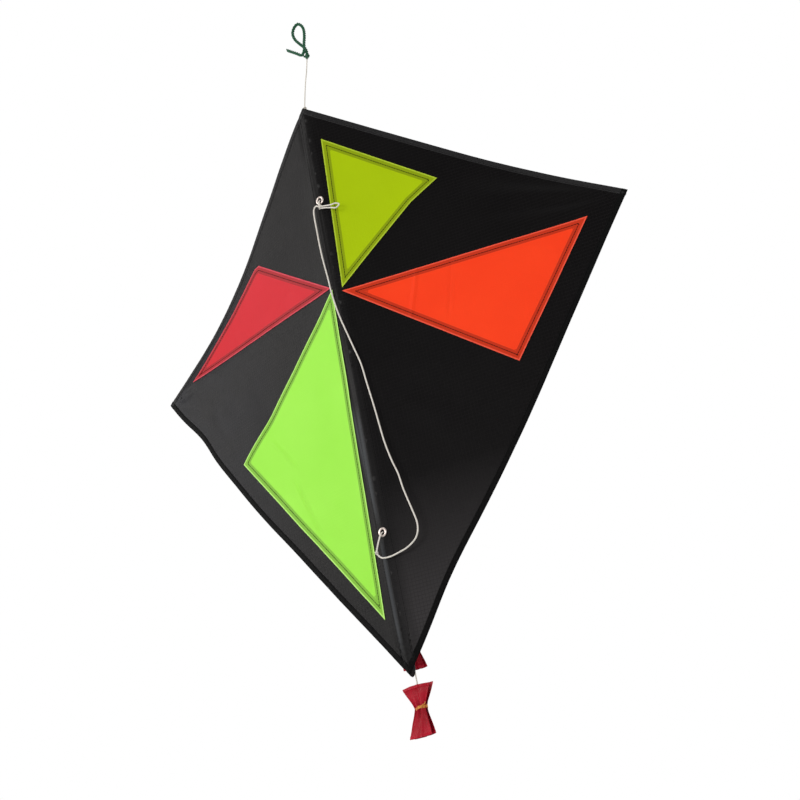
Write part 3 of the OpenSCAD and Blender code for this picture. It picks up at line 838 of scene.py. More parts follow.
def clothHeight(side, u, z):
    # how far the cloth stands in front of the wing's flat plane
    run = max(0.0, u)
    if z > plan["cross"]:
        w = min(1.0, max(0.0, (plan["nose"] - z) / (plan["nose"] - plan["cross"])))
        rise, fall, height = billow["backRise"], billow["backFall"], -billow["back"][side]
        edge = plan["span"] * w
    else:
        w = min(1.0, max(0.0, (plan["cross"] - z) / (plan["cross"] - plan["tail"])))
        rise, fall, height = billow["forwardRise"], billow["forwardFall"], billow["forward"]
        edge = plan["span"] * (1 - w)
    peak = rise / (rise + fall)
    most = peak ** rise * (1 - peak) ** fall
    share = min(1.15, run / max(edge, 0.006))
    out = height * (w ** rise) * ((1 - w) ** fall) / most * share ** billow["reach"]
    if side == "left":
        # a strip beside the spine lies flat, and the cloth falls away beyond it
        strip = 0.0060 * softStep(-.02, -.07, z) * (1 - softStep(-.30, -.38, z) * 0.7) + 0.0001
        flat = math.tan(plan["setBack"]) * min(run, strip)
        out += flat * (1 - softStep(strip, strip + 0.030, run))
    for fold in sideFolds[side]:
        out += foldHeight(fold, u, z)
    # slight wrinkling all over, still at the spine
    calm = softStep(0.0, 0.03, run)
    seed = 3.1 if side == "left" else 8.7
    out += noise.noise(Vector((u * 9, z * 7, seed))) * 0.0016 * calm
    out += noise.noise(Vector((u * 34, z * 22, seed + 5))) * 0.00035 * calm
    return out


def wingPoint(side, u, z, layer=0.0):
    # a place on the wing's cloth, layer metres in front of the cloth's middle
    out = plan["cloth"] + layer + clothHeight(side, u, z)
    angle = plan["setBack"] + min(0.0, u) / plan["cloth"]
    run = max(0.0, u)
    x = run * math.cos(angle) + out * math.sin(angle)
    y = run * math.sin(angle) - out * math.cos(angle)
    return Vector((-x if side == "left" else x, y, z))


def edgeLine(start, end, sag, count, waves=()):
    # an edge of the sail that bows sideways by sag at its middle, as points of the plan
    a, b = np.array(start), np.array(end)
    across = np.array([b[1] - a[1], a[0] - b[0]]) / np.linalg.norm(b - a)
    line = []
    for f in np.linspace(0, 1, count):
        wave = sum(rise * math.exp(-((f - at) / wide) ** 2) for at, wide, rise in waves)
        shift = sag * 4 * f * (1 - f) + wave
        line.append(tuple(a + (b - a) * f + across * shift))
    return line


noseCorner = (innerEdge, plan["nose"] - innerEdge * 0.7)
leadEdge = {"right": edgeLine(noseCorner, tipAt, plan["hollow"] * 0.45, 150),
            "left": edgeLine(noseCorner, tipAt, plan["hollow"], 150)}
trailEdge = {side: edgeLine(tipAt, (innerEdge, plan["tail"]), -plan["fullness"], 200, slack[side])
             for side in ("right", "left")}
sailOutline = {side: leadEdge[side] + trailEdge[side][1:] for side in trailEdge}


# flat cloth cut to an outline and laid on the wing

def insideOf(points, polygon):
    inside = np.zeros(len(points), bool)
    x, y = points[:, 0], points[:, 1]
    for (x0, y0), (x1, y1) in zip(polygon, np.roll(polygon, -1, axis=0)):
        crosses = (y0 > y) != (y1 > y)
        if crosses.any():
            inside ^= crosses & (x < (x1 - x0) * (y - y0) / (y1 - y0 + 1e-15) + x0)
    return inside


def gapTo(points, polygon):
    # distance from each point to the nearest edge of a closed outline
    best = np.full(len(points), 1e9)
    for a, b in zip(polygon, np.roll(polygon, -1, axis=0)):
        d = b - a
        t = np.clip(((points - a) @ d) / max(d @ d, 1e-15), 0, 1)
        best = np.minimum(best, np.linalg.norm(points - a - t[:, None] * d, axis=1))
    return best


def inset(polygon, gap):
    # the outline moved inwards, with square corners
    p = np.asarray(polygon)
    area = 0.5 * np.sum(p[:, 0] * np.roll(p[:, 1], -1) - np.roll(p[:, 0], -1) * p[:, 1])
    before, after = p - np.roll(p, 1, axis=0), np.roll(p, -1, axis=0) - p
    turn = 1 if area > 0 else -1
    out = []
    for q, d0, d1 in zip(p, before, after):
        n0 = turn * np.array([-d0[1], d0[0]]) / np.linalg.norm(d0)
        n1 = turn * np.array([-d1[1], d1[0]]) / np.linalg.norm(d1)
        out.append(q + (n0 + n1) * gap / max(1 + n0 @ n1, 0.12))
    return np.array(out)


def alongOutline(polygon, gap):
    out = []
    for a, b in zip(polygon, np.roll(polygon, -1, axis=0)):
        count = max(1, round(np.linalg.norm(b - a) / gap))
        out += [a + (b - a) * i / count for i in range(count)]
    return np.array(out)


def clothPiece(name, side, outline, windows, lines, layer, thickness, gridGap, finish, lift=None):
    # outline and windows are closed; lines are closed too, and only put mesh edges where they run
    rings = [alongOutline(np.asarray(r), gridGap) for r in [outline, *windows, *lines]]
    fixed, edges = [], []
    for ring in rings:
        start = len(fixed)
        fixed += list(ring)
        edges += [(start + i, start + (i + 1) % len(ring)) for i in range(len(ring))]
    low, high = np.min(rings[0], axis=0), np.max(rings[0], axis=0)
    us, zs = np.arange(low[0], high[0], gridGap), np.arange(low[1], high[1], gridGap)
    grid = np.array([(u + (gridGap / 2 if j % 2 else 0), z) for j, z in enumerate(zs) for u in us])
    keep = insideOf(grid, rings[0])
    for ring in rings[1:1 + len(windows)]:
        keep &= ~insideOf(grid, ring)
    for ring in rings:
        keep &= gapTo(grid, ring) > gridGap * 0.5
    points = [Vector(p) for p in fixed] + [Vector(p) for p in grid[keep]]
    flat, _, faces, *_ = delaunay_2d_cdt(points, edges, [], 0, 1e-7)
    flat = np.array([tuple(p) for p in flat])
    centres = np.array([flat[list(f)].mean(axis=0) for f in faces])
    wanted = insideOf(centres, rings[0])
    for ring in rings[1:1 + len(windows)]:
        wanted &= ~insideOf(centres, ring)
    faces = [f for f, w in zip(faces, wanted) if w]
    gaps = gapTo(flat, rings[0])
    raised = [lift(g) if lift else 0.0 for g in gaps]
    front = [wingPoint(side, u, z, layer + r) for (u, z), r in zip(flat, raised)]
    back = [wingPoint(side, u, z, layer + r - thickness) for (u, z), r in zip(flat, raised)]
    # faces wind so that the front looks towards -Y
    a, b, c = (flat[i] for i in faces[0])
    turn = (b[0] - a[0]) * (c[1] - a[1]) - (b[1] - a[1]) * (c[0] - a[0])
    if (turn > 0) != (side == "right"):
        faces = [f[::-1] for f in faces]
    count = len(front)
    walls, seen = [], {}
    for f in faces:
        for i in range(3):
            seen[(f[i], f[(i + 1) % 3])] = True
    for i, j in seen:
        if (j, i) not in seen:
            walls.append((j, i, i + count, j + count))
    shell = [tuple(f) for f in faces] + [tuple(i + count for i in f[::-1]) for f in faces] + walls
    used = sorted({i for f in shell for i in f})
    renumber = {old: new for new, old in enumerate(used)}
    both = front + back
    verts = [both[i] for i in used]
    shell = [tuple(renumber[i] for i in f) for f in shell]
    cloth = [(flat[i % count][0], flat[i % count][1]) for i in used]
    made = piece(name, verts, shell, finish, cloth, {"edgeGap": [gaps[i % count] for i in used]})
    rims = {frozenset(renumber[i] for i in pair) for j, i, k, m in walls for pair in ((j, i), (k, m))}
    made.data.attributes.new("sharp_edge", "BOOLEAN", "EDGE").data.foreach_set(
        "value", [frozenset(e.vertices) in rims for e in made.data.edges])
    area = sum(abs(np.cross(flat[f[1]] - flat[f[0]], flat[f[2]] - flat[f[0]])) / 2 for f in faces)
    return made, area


def bendWithWing(made):
    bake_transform(made)


def panelOutline(node, side):
    # corners of a CAD panel in the wing's plan, in order round its middle
    sign = -1 if side == "left" else 1
    c, s = math.cos(plan["setBack"]), math.sin(plan["setBack"])
    found = set()
    for v in frame["nodes"][node].data.vertices:
        x, y = v.co.x * sign, v.co.y
        found.add((round(x * c + y * s, 4), round(v.co.z, 4)))
    corners = np.array(sorted(found))
    middle = corners.mean(axis=0)
    order = np.argsort(np.arctan2(corners[:, 1] - middle[1], corners[:, 0] - middle[0]))
    return corners[order]


def settled(side, corner):
    # where a corner of the flat plan lands on the billowed cloth, seen from the camera
    eye = scene.camera.location
    sign = -1 if side == "left" else 1
    c, s = math.cos(plan["setBack"]), math.sin(plan["setBack"])
    out, across = Vector((sign * s, -c, 0)), Vector((sign * c, s, 0))
    u, z = corner
    for _ in range(6):
        p = wingPoint(side, u, z)
        ray = p - eye
        hit = eye + ray * ((plan["cloth"] - eye.dot(out)) / ray.dot(out))
        u += corner[0] - hit.dot(across)
        z += corner[1] - hit.z
    return max(u, 0.002), z


panelPlan = {"panel_yellow": "right", "panel_orange": "right", "panel_red": "left", "panel_green": "left"}
panelCut = {"turning": 0.009, "stitch": 0.0055, "layer": 0.00045, "cloth": 0.00022, "grid": 0.0028,
            "rim": 0.0011, "rimHeight": 0.00035, "turnHeight": 0.00012,
            "bow": {"panel_red": 0.0045}, "apex": {"panel_green": (0.0, 0.009)}}
sailCut = {"cloth": 0.00025, "grid": 0.0036}


def panelLift(gap):
    # the folded rim stands a little proud, and the turning behind it is doubled
    fold = panelCut["rimHeight"] * math.exp(-((gap - panelCut["rim"]) / 0.0009) ** 2)
    pressed = -0.00022 * math.exp(-((gap - panelCut["stitch"]) / 0.0009) ** 2)
    return fold + pressed + panelCut["turnHeight"] * (1 - softStep(0.0086, 0.0098, gap))


def bowed(corners, rise):
    # a side that runs just inside a leading edge follows that edge's curve
    out = []
    for a, b in zip(corners, np.roll(corners, -1, axis=0)):
        out.append(a)
        d = b - a
        long = np.linalg.norm(d)
        edge = np.array(tipAt) - np.array(noseAt)
        parallel = abs(d @ edge) / long / np.linalg.norm(edge)
        near = gapTo((a + b)[None, :] / 2, np.array(leadEdge["left"]))[0]
        if rise and parallel > 0.98 and near < 0.035:
            outwards = np.array([d[1], -d[0]]) / long
            if outwards[1] < 0:
                outwards = -outwards
            out += [a + d * f + outwards * rise * 4 * f * (1 - f) for f in np.linspace(0, 1, 14)[1:-1]]
    return np.array(out)


outlines = {}
for panelName, side in panelPlan.items():
    found = np.array([settled(side, corner) for corner in panelOutline(panelName, side)])
    if panelName in panelCut["apex"]:
        top = found[:, 1].argmax()
        found[top] += np.array(panelCut["apex"][panelName])
    outlines[panelName] = bowed(found, panelCut["bow"].get(panelName, 0.0))
    print(f"{panelName}: {len(found)} corners, {len(outlines[panelName])} points")


def buildSail():
    for side in ("left", "right"):
        windows = [inset(outlines[n], panelCut["turning"]) for n, s in panelPlan.items() if s == side]
        made, area = clothPiece("sail_" + side + "_cloth", side, sailOutline[side], windows, [], 0.0,
                                sailCut["cloth"], sailCut["grid"], "sail")
        bendWithWing(made)
        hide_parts("sail_" + side)
        plan["nose"] - plan["tail"]
        print(f"sail {side}: {area:.4f} m2")


def buildPanels():
    for name, side in panelPlan.items():
        ring = outlines[name]
        lines = [inset(ring, panelCut["rim"] * 1.6), inset(ring, panelCut["turning"])]
        made, area = clothPiece(name + "_cloth", side, ring, [], lines, panelCut["layer"], panelCut["cloth"],
                                panelCut["grid"], name, panelLift)
        bendWithWing(made)
        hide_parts(name)


buildSail()
buildPanels()


# folded binding along the edges

tape = {"width": 0.007, "thick": 0.00062, "lowerShare": 1.12, "pucker": 0.00016, "puckerPitch": 0.0068,
        "step": 0.0022}


def buildBinding(name, side, line, node, thick, finish="tape"):
    dense, length = evenly([Vector((p[0], p[1], 0)) for p in line], tape["step"])
    section = [(1.0, 0.45), (0.93, 0.9), (0.5, 1.0), (0.12, 0.95), (-0.02, 0.55), (-0.05, 0.0),
               (-0.02, -0.55), (0.12, -0.95), (0.5, -1.0), (0.93, -0.9), (1.0, -0.45)]
    verts, cloth, along = [], [], 0.0
    count = len(section)
    for i, p in enumerate(dense):
        if i:
            along += (p - dense[i - 1]).length
        d = (dense[min(i + 1, len(dense) - 1)] - dense[max(i - 1, 0)]).normalized()
        inward = (d.y, -d.x)
        for w, o in section:
            pucker = tape["pucker"] * math.sin(along * 2 * math.pi / tape["puckerPitch"])
            ripple = pucker * (1 - abs(w - 0.5))
            reach = w * tape["width"]
            u, z = p.x + inward[0] * reach, p.y + inward[1] * reach
            verts.append(wingPoint(side, max(u, innerEdge), z, o * thick + ripple * (1 if o > 0 else -1)
                                   - sailCut["cloth"] / 2))
            cloth.append((reach + (0.02 if o < 0 else 0), along))
    faces = ringFaces(len(dense), count)
    faces.append(tuple(range(count))[::-1])
    faces.append(tuple((len(dense) - 1) * count + k for k in range(count)))
    if side == "right":
        faces = [f[::-1] for f in faces]
    made = piece(name, verts, faces, finish, cloth)
    bendWithWing(made)
    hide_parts(node)
    return made


for wing in ("left", "right"):
    buildBinding("binding_upper_" + wing, wing, leadEdge[wing], "hem_upper_" + wing, tape["thick"])
    # the lower edges take the darker copy of the tape, a painted shade
    buildBinding("binding_lower_" + wing, wing, trailEdge[wing], "hem_lower_" + wing,
                 tape["thick"] * tape["lowerShare"], "darkTape")
print("bindings made")


# stitches: one row of arched stitches along each seam

def stitchRecipe():
    tree = bpy.data.node_groups.new("stitchRow", "GeometryNodeTree")
    tree.interface.new_socket(name="Seam", in_out="INPUT", socket_type="NodeSocketGeometry")
    for name in ("Pitch", "Stitch Length", "Thread Radius", "Arch", "Looseness"):
        tree.interface.new_socket(name=name, in_out="INPUT", socket_type="NodeSocketFloat")
    tree.interface.new_socket(name="Thread Material", in_out="INPUT", socket_type="NodeSocketMaterial")
    tree.interface.new_socket(name="Stitches", in_out="OUTPUT", socket_type="NodeSocketGeometry")
    g = Graph(tree)
    source = tree.nodes.new("NodeGroupInput")
    given = {socket.name: Wire(g, socket) for socket in source.outputs if socket.name}
    seam = g.node("GeometryNodeMeshToCurve", {}, {"Mesh": given["Seam"]})
    row = g.node("GeometryNodeResampleCurve", {"mode": "LENGTH"}, {"Curve": seam, "Length": given["Pitch"]})
    half = given["Stitch Length"] * 0.5
    start = g.node("ShaderNodeCombineXYZ", {}, {"X": half * -1.0, "Z": given["Thread Radius"] * -0.6})
    middle = g.node("ShaderNodeCombineXYZ", {}, {"Z": given["Arch"]})
    end = g.node("ShaderNodeCombineXYZ", {}, {"X": half, "Z": given["Thread Radius"] * -0.6})
    arch = g.node("GeometryNodeCurveQuadraticBezier", {},
                  {"Resolution": 5, "Start": start, "Middle": middle, "End": end})
    ring = g.node("GeometryNodeCurvePrimitiveCircle", {},
                  {"Resolution": 6, "Radius": given["Thread Radius"]})
    stitch = g.node("GeometryNodeCurveToMesh", {}, {"Curve": arch, "Profile Curve": ring, "Fill Caps": True})
    tangent = g.node("GeometryNodeInputTangent", {}, {})
    facing = g.node("GeometryNodeInputNamedAttribute", {"data_type": "FLOAT_VECTOR"}, {"Name": "facing"})
    along = g.node("FunctionNodeAlignRotationToVector", {"axis": "X"}, {"Vector": tangent})
    turned = g.node("FunctionNodeAlignRotationToVector", {"axis": "Z", "pivot_axis": "X"},
                    {"Rotation": along, "Vector": facing})
    yaw = g.node("FunctionNodeRandomValue", {"data_type": "FLOAT"},
                 {2: given["Looseness"] * -1.0, 3: given["Looseness"], "Seed": 7}, 1)
    sway = g.node("FunctionNodeEulerToRotation", {}, [g.node("ShaderNodeCombineXYZ", {}, {"Z": yaw})])
    laid = g.node("FunctionNodeRotateRotation", {"rotation_space": "LOCAL"}, [turned, sway])
    placed = g.node("GeometryNodeInstanceOnPoints", {},
                    {"Points": row, "Instance": stitch, "Rotation": laid})
    solid = g.node("GeometryNodeRealizeInstances", {}, [placed])
    done = g.node("GeometryNodeSetMaterial", {}, {"Geometry": solid, "Material": given["Thread Material"]})
    g.node("NodeGroupOutput", {}, {"Stitches": done})
    return tree


stitching = {"Pitch": 0.0033, "Stitch Length": 0.0027, "Thread Radius": 0.00034, "Arch": 0.00042,
             "Looseness": 0.09}
fineStitching = {"Pitch": 0.0033, "Stitch Length": 0.0026, "Thread Radius": 0.00019, "Arch": 0.00014,
                 "Looseness": 0.06}
stitchGroup = stitchRecipe()


def sewn(name, seams, values=stitching):
    # seams are lists of (place, facing) pairs
    verts, edges, facings = [], [], []
    for seam in seams:
        start = len(verts)
        verts += [tuple(p) for p, _ in seam]
        facings += [tuple(n) for _, n in seam]
        edges += [(start + i, start + i + 1) for i in range(len(seam) - 1)]
    mesh = bpy.data.meshes.new(name)
    mesh.from_pydata(verts, edges, [])
    mesh.attributes.new("facing", "FLOAT_VECTOR", "POINT").data.foreach_set("vector", np.ravel(facings))
    made = bpy.data.objects.new(name, mesh)
    scene.collection.objects.link(made)
    modifier = made.modifiers.new("stitchRow", "NODES")
    modifier.node_group = stitchGroup
    settings = dict(values, **{"Thread Material": finishes["thread"]})
    for socket in stitchGroup.interface.items_tree:
        if socket.name in settings:
            modifier[socket.identifier] = settings[socket.name]
    graph = bpy.context.evaluated_depsgraph_get()
    final = bpy.data.meshes.new_from_object(made.evaluated_get(graph))
    made.modifiers.remove(modifier)
    made.data = final
    final.polygons.foreach_set("use_smooth", [True] * len(final.polygons))
    print(f"{name}: {len(final.polygons)} faces")
    return made


def wingFacing(side, back=False):
    angle = plan["setBack"]
    x, y = math.sin(angle), -math.cos(angle)
    turn = -1 if back else 1
    return Vector((-x * turn if side == "left" else x * turn, y * turn, 0))


def seamOn(side, line, layer, back=False, closed=False):
    places = [np.asarray(p) for p in line]
    if closed:
        places.append(places[0])
    dense = []
    for a, b in zip(places, places[1:]):
        steps = max(1, int(np.linalg.norm(b - a) / 0.004))
        dense += [a + (b - a) * i / steps for i in range(steps)]
    dense.append(places[-1])
    facing = wingFacing(side, back)
    return [(wingPoint(side, u, z, layer), facing) for u, z in dense]


def movedIn(line, gap, trim):
    # a line moved inwards from an edge of the sail, with its ends trimmed
    out = []
    for i, p in enumerate(line):
        a, b = np.array(line[max(i - 1, 0)]), np.array(line[min(i + 1, len(line) - 1)])
        d = (b - a) / np.linalg.norm(b - a)
        out.append(np.array(p) + np.array([d[1], -d[0]]) * gap)
    return out[trim:-trim]


seamPlan = {"hem": 0.0056, "spine": 0.0070, "tip": [(0.3335, -0.2435), (0.3365, -0.2530), (0.3450, -0.2650)],
            "proud": 0.00008, "onHem": 0.93, "trim": 5}


def buildStitches():
    crossing = plan["cross"]
    for side in ("left", "right"):
        panels, seams = [], []
        proud = seamPlan["proud"]
        middle = -sailCut["cloth"] / 2
        onPanel = panelCut["layer"] + panelLift(panelCut["stitch"]) + proud
        for name, where in panelPlan.items():
            if where == side:
                row = inset(outlines[name], panelCut["stitch"])
                panels.append(seamOn(side, row, onPanel, closed=True))
                panels.append(seamOn(side, row, -sailCut["cloth"] - proud, back=True, closed=True))
        for line, share in ((leadEdge[side], 1.0), (trailEdge[side], tape["lowerShare"])):
            run = movedIn(line, seamPlan["hem"], seamPlan["trim"])
            high = tape["thick"] * share * seamPlan["onHem"]
            seams.append(seamOn(side, run, high + middle + proud))
            seams.append(seamOn(side, run, -high + middle - proud, back=True))
        for top, low in ((-0.016, crossing + 0.024), (crossing - 0.022, plan["tail"] + 0.02)):
            seams.append(seamOn(side, [(seamPlan["spine"], top), (seamPlan["spine"], low)], proud))
        seams.append(seamOn(side, seamPlan["tip"], proud))
        bendWithWing(sewn("panelStitches_" + side, panels))
        bendWithWing(sewn("seamStitches_" + side, seams, fineStitching))


buildStitches()
print("stitches made")


# closed cloth forms built from rings of points

def lofted(name, rings, finish, body, slot, *nodes):
    count = len(rings[0])
    verts = [p for ring in rings for p in ring]
    faces = ringFaces(len(rings), count)
    faces.append(tuple(range(count))[::-1])
    faces.append(tuple((len(rings) - 1) * count + k for k in range(count)))
    made = piece(name, verts, faces, finish)
    outward(made)
    fasten(made, body, slot, *nodes)


def outward(made):
    # faces turned outwards, judged by the closed form's own volume
    mesh = made.data
    volume = 0.0
    for f in mesh.polygons:
        p = [mesh.vertices[i].co for i in f.vertices]
        for a, b in zip(p[1:], p[2:]):
            volume += p[0].dot(a.cross(b))
    if volume < 0:
        mesh.flip_normals()
    mesh.update()


sleeve = {"radius": 0.00436, "flange": 0.0068, "gap": 0.0004, "cloth": 0.0005, "step": 0.004}


def sleeveRing(z):
    def wrinkle(a):
        return noise.noise(Vector((math.cos(a) * 1.4, math.sin(a) * 1.4, z * 46))) * 0.00028
    ring = []
    for a in np.radians(np.linspace(205, -25, 23)):
        r = sleeve["radius"] + wrinkle(a) - 0.0001
        ring.append(Vector((r * math.cos(a), r * math.sin(a), z)))
    back, front = -sleeve["gap"] - sleeve["cloth"], -sleeve["gap"]
    for side, steps in (("right", ((0.0052, back), (sleeve["flange"], back), (sleeve["flange"], front),
                                   (0.0032, front))),
                        ("left", ((0.0032, front), (sleeve["flange"], front), (sleeve["flange"], back),
                                  (0.0052, back)))):
        for u, layer in steps:
            p = wingPoint(side, u, z, layer)
            ring.append(Vector((p.x, p.y, z)))
    return ring


def capRings(end, up):
    # a small cup of cloth over the end of the spine
    rings = []
    for away, r in ((.0150, .0045), (.0140, .0048), (.0100, .0048), (.0065, .0046), (.0035, .0041),
                    (.0012, .0034), (-.0004, .0026), (-.0015, .0016), (-.0023, .0005)):
        z = end - up * away
        ring = []
        for a in np.linspace(0, 2 * math.pi, 28, endpoint=False):
            pleat = 1 + 0.035 * math.sin(5 * a + 0.7) + 0.02 * math.sin(9 * a + z * 900)
            # flattened at the front, where the cloth of the sail lies over it
            y = math.sin(a) * r * pleat
            ring.append(Vector((math.cos(a) * r * pleat, max(y, -0.0046), z)))
        rings.append(ring)
    return rings


def buildSleeves():
    for name, node in (("sleeveUpper", "spine_sleeve_upper"), ("sleeveLower", "spine_sleeve_lower")):
        low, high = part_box(node)
        count = round((high.z - low.z) / sleeve["step"])
        rings = [sleeveRing(z) for z in np.linspace(low.z, high.z, count)]
        lofted(name, rings, "sleeve", "frame", "sleeve_cloth", node)
    lofted("nosePocket", capRings(plan["nose"], 1), "pocket", "frame", "pocket_cloth", "nose_pocket")
    lofted("tailPocket", capRings(plan["tail"], -1), "pocket", "frame", "pocket_cloth", "tail_pocket")


tipPocket = {
    "mouth": 0.3338, "end": 0.3572, "up": (0.0092, 0.0044, 0.0028), "down": (0.0112, 0.0044, 0.0028),
    "turn": 0.86, "deep": 0.0084, "mouthDeep": 0.0090, "closing": (0.93, 1.05), "round": 0.0062,
    "flat": 0.0006, "front": 0.0003, "ripple": 0.0005, "lining": 0.0005,
}


def tipRing(side, f, shrink):
    # one ring of the pocket, f from its mouth, 0, to its closed end, 1
    u = tipPocket["mouth"] + (tipPocket["end"] - tipPocket["mouth"]) * f
    turn = tipPocket["turn"]
    spans = []
    for wide, mid, end in (tipPocket["up"], tipPocket["down"]):
        past = (f - turn) / (1 - turn)
        spans.append(wide + (mid - wide) * f / turn if f < turn else mid + (end - mid) * past)
    deep = tipPocket["mouthDeep"] + (tipPocket["deep"] - tipPocket["mouthDeep"]) * f
    deep *= 1 - softStep(*tipPocket["closing"], f) * 0.5
    ring = []
    for a in np.linspace(0, 2 * math.pi, 40, endpoint=False):
        across, depth = math.cos(a), math.sin(a)
        v = across * (spans[0] if across > 0 else spans[1])
        v = math.copysign(max(0.0, abs(v) - shrink), v)
        ripple = noise.noise(Vector((u * 160, v * 240, depth * 2))) * tipPocket["ripple"]
        swell = max(0.0, 1 - (v / tipPocket["round"]) ** 2) ** 0.5 if abs(v) < tipPocket["round"] else 0.0
        flat = tipPocket["flat"]
        bulge = flat + (deep - flat) * swell * min(1, -depth * 1.25) + ripple
        out = tipPocket["front"] if depth > 0 else bulge
        ring.append(wingPoint(side, u, plan["cross"] + v, -out - shrink * (1 if depth > 0 else -1) * 0.6))
    return ring


def buildTipPockets():
    for side in ("left", "right"):
        rings = [tipRing(side, f, tipPocket["lining"]) for f in (0.45, 0.2, 0.0)]
        rings += [tipRing(side, f, 0.0) for f in np.linspace(0.0, 1.0, 18)]
        lofted("tipPocket_" + side, rings, "pocket", "wing_" + side, "pocket_cloth", "tip_pocket_" + side)


tab = {"half": 0.0015, "hole": 0.00245, "end": 0.0045, "reach": 0.0096,
       "foot": (62, 166), "footHeight": 0.008, "seam": (68, 160), "seamHeight": 0.0066, "seamAt": 0.00532}
tabStitching = dict(stitching, **{"Pitch": 0.0024, "Stitch Length": 0.0019, "Thread Radius": 0.00024})


def buildTab():
    middle = Vector((tail["x"], tail["y"], joint["tail_sway"]["pos_m"][2]))
    rings = []
    for a in np.linspace(0, 2 * math.pi, 56, endpoint=False):
        c, s = math.cos(a), math.sin(a)
        edge = tab["end"]
        if c < 0:
            edge = min(tab["end"] / max(abs(s), 1e-6), tab["reach"] / abs(c))
        section = [(tab["hole"], 0.5), (tab["hole"] + .0003, 0.93), (tab["hole"] + .0012, 1.0),
                   (edge - .0011, 1.0), (edge - .0003, 0.9), (edge, 0.5)]
        section += [(r, -w) for r, w in section[::-1]]
        rings.append([middle + Vector((w * tab["half"], c * r, s * r)) for r, w in section])
    verts = [p for ring in rings for p in ring]
    made = piece("tailTab", verts, ringFaces(len(rings), len(rings[0]), closed=True), "webbing")
    outward(made)
    fasten(made, "frame", "webbing", "tail_tab")
    foot = []
    for a in np.radians(np.linspace(*tab["foot"], 26)):
        h = tab["footHeight"]
        shape = [(.0044, -h), (.0050, -h * 1.01), (.0053, -h * 0.97), (.00525, 0), (.0053, h * 0.97),
                 (.0050, h * 1.01), (.0044, h), (.0044, 0)]
        foot.append([Vector((math.cos(a) * r, math.sin(a) * r, middle.z + z)) for r, z in shape])
    lofted("tailTabFoot", foot, "webbing", "frame", "webbing")

    def seamAt(a, z):
        facing = Vector((math.cos(a), math.sin(a), 0))
        return facing * tab["seamAt"] + Vector((0, 0, middle.z + z)), facing

    high = tab["seamHeight"]
    rows = [[seamAt(a, z) for a in np.radians(np.linspace(*tab["seam"], 20))] for z in (-high, high)]
    rows += [[seamAt(a, z) for z in np.linspace(-high, high, 9)] for a in np.radians(tab["seam"])]
    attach(sewn("tailTabStitches", rows, tabStitching), "frame")


buildSleeves()
buildTipPockets()
buildTab()
print("sleeves, pockets and tab made")


# tail bows: a hemmed ribbon folded double and gathered under its tie

bow = {
    "cloth": 0.00026, "up": 0.025, "down": 0.031, "pinch": 0.0068, "hem": 0.0028,
    "upper": {"top": 0.0150, "low": 0.0115, "lean": 0.0012, "turn": 0.25, "seed": 4.0},
    "lower": {"top": 0.0178, "low": 0.0150, "lean": -0.006, "turn": -0.10, "seed": 1.0},
}


def ribbonPoint(shape, centre, layer, s, t):
    # s runs across the ribbon and t from its bottom hem, -1, to its top hem, 1
    away = abs(t)
    wide = shape["top"] if t > 0 else shape["low"]
    spread = softStep(0.0, 1.0, away) * 0.45 + away * 0.55
    half = bow["pinch"] + (wide - bow["pinch"]) * spread
    half *= layer["width"]
    lean = 0.0 if t > 0 else shape["lean"] * away
    x = lean + half * s + layer["shift"] * spread
    # pleats: deep under the tie, opening out to a soft wave at the hems
    deep = 0.0013 * (1 - softStep(0.0, 0.6, away)) + 0.00035
    pleat = math.sin(s * math.pi * 2.5 + layer["phase"]) * deep
    curl = layer["curl"] * spread * (s * s - 0.3)
    fold = 0.0016 * spread * math.exp(-((s - 0.42 + 0.25 * away) / 0.11) ** 2)
    wave = noise.noise(Vector((s * 1.6, t * 2.1, shape["seed"] + layer["phase"]))) * 0.0014 * spread
    y = layer["depth"] + pleat + curl - fold + wave
    reach = bow["up"] if t > 0 else bow["down"]
    z = reach * t * (1 - 0.035 * s * s * (1 if t > 0 else 0.6)) + layer["drop"] * spread * s
    turn = shape["turn"] + layer["turn"] * spread
    c, d = math.cos(turn), math.sin(turn)
    return Vector((centre.x + x * c - y * d, centre.y + x * d + y * c, centre.z + z))


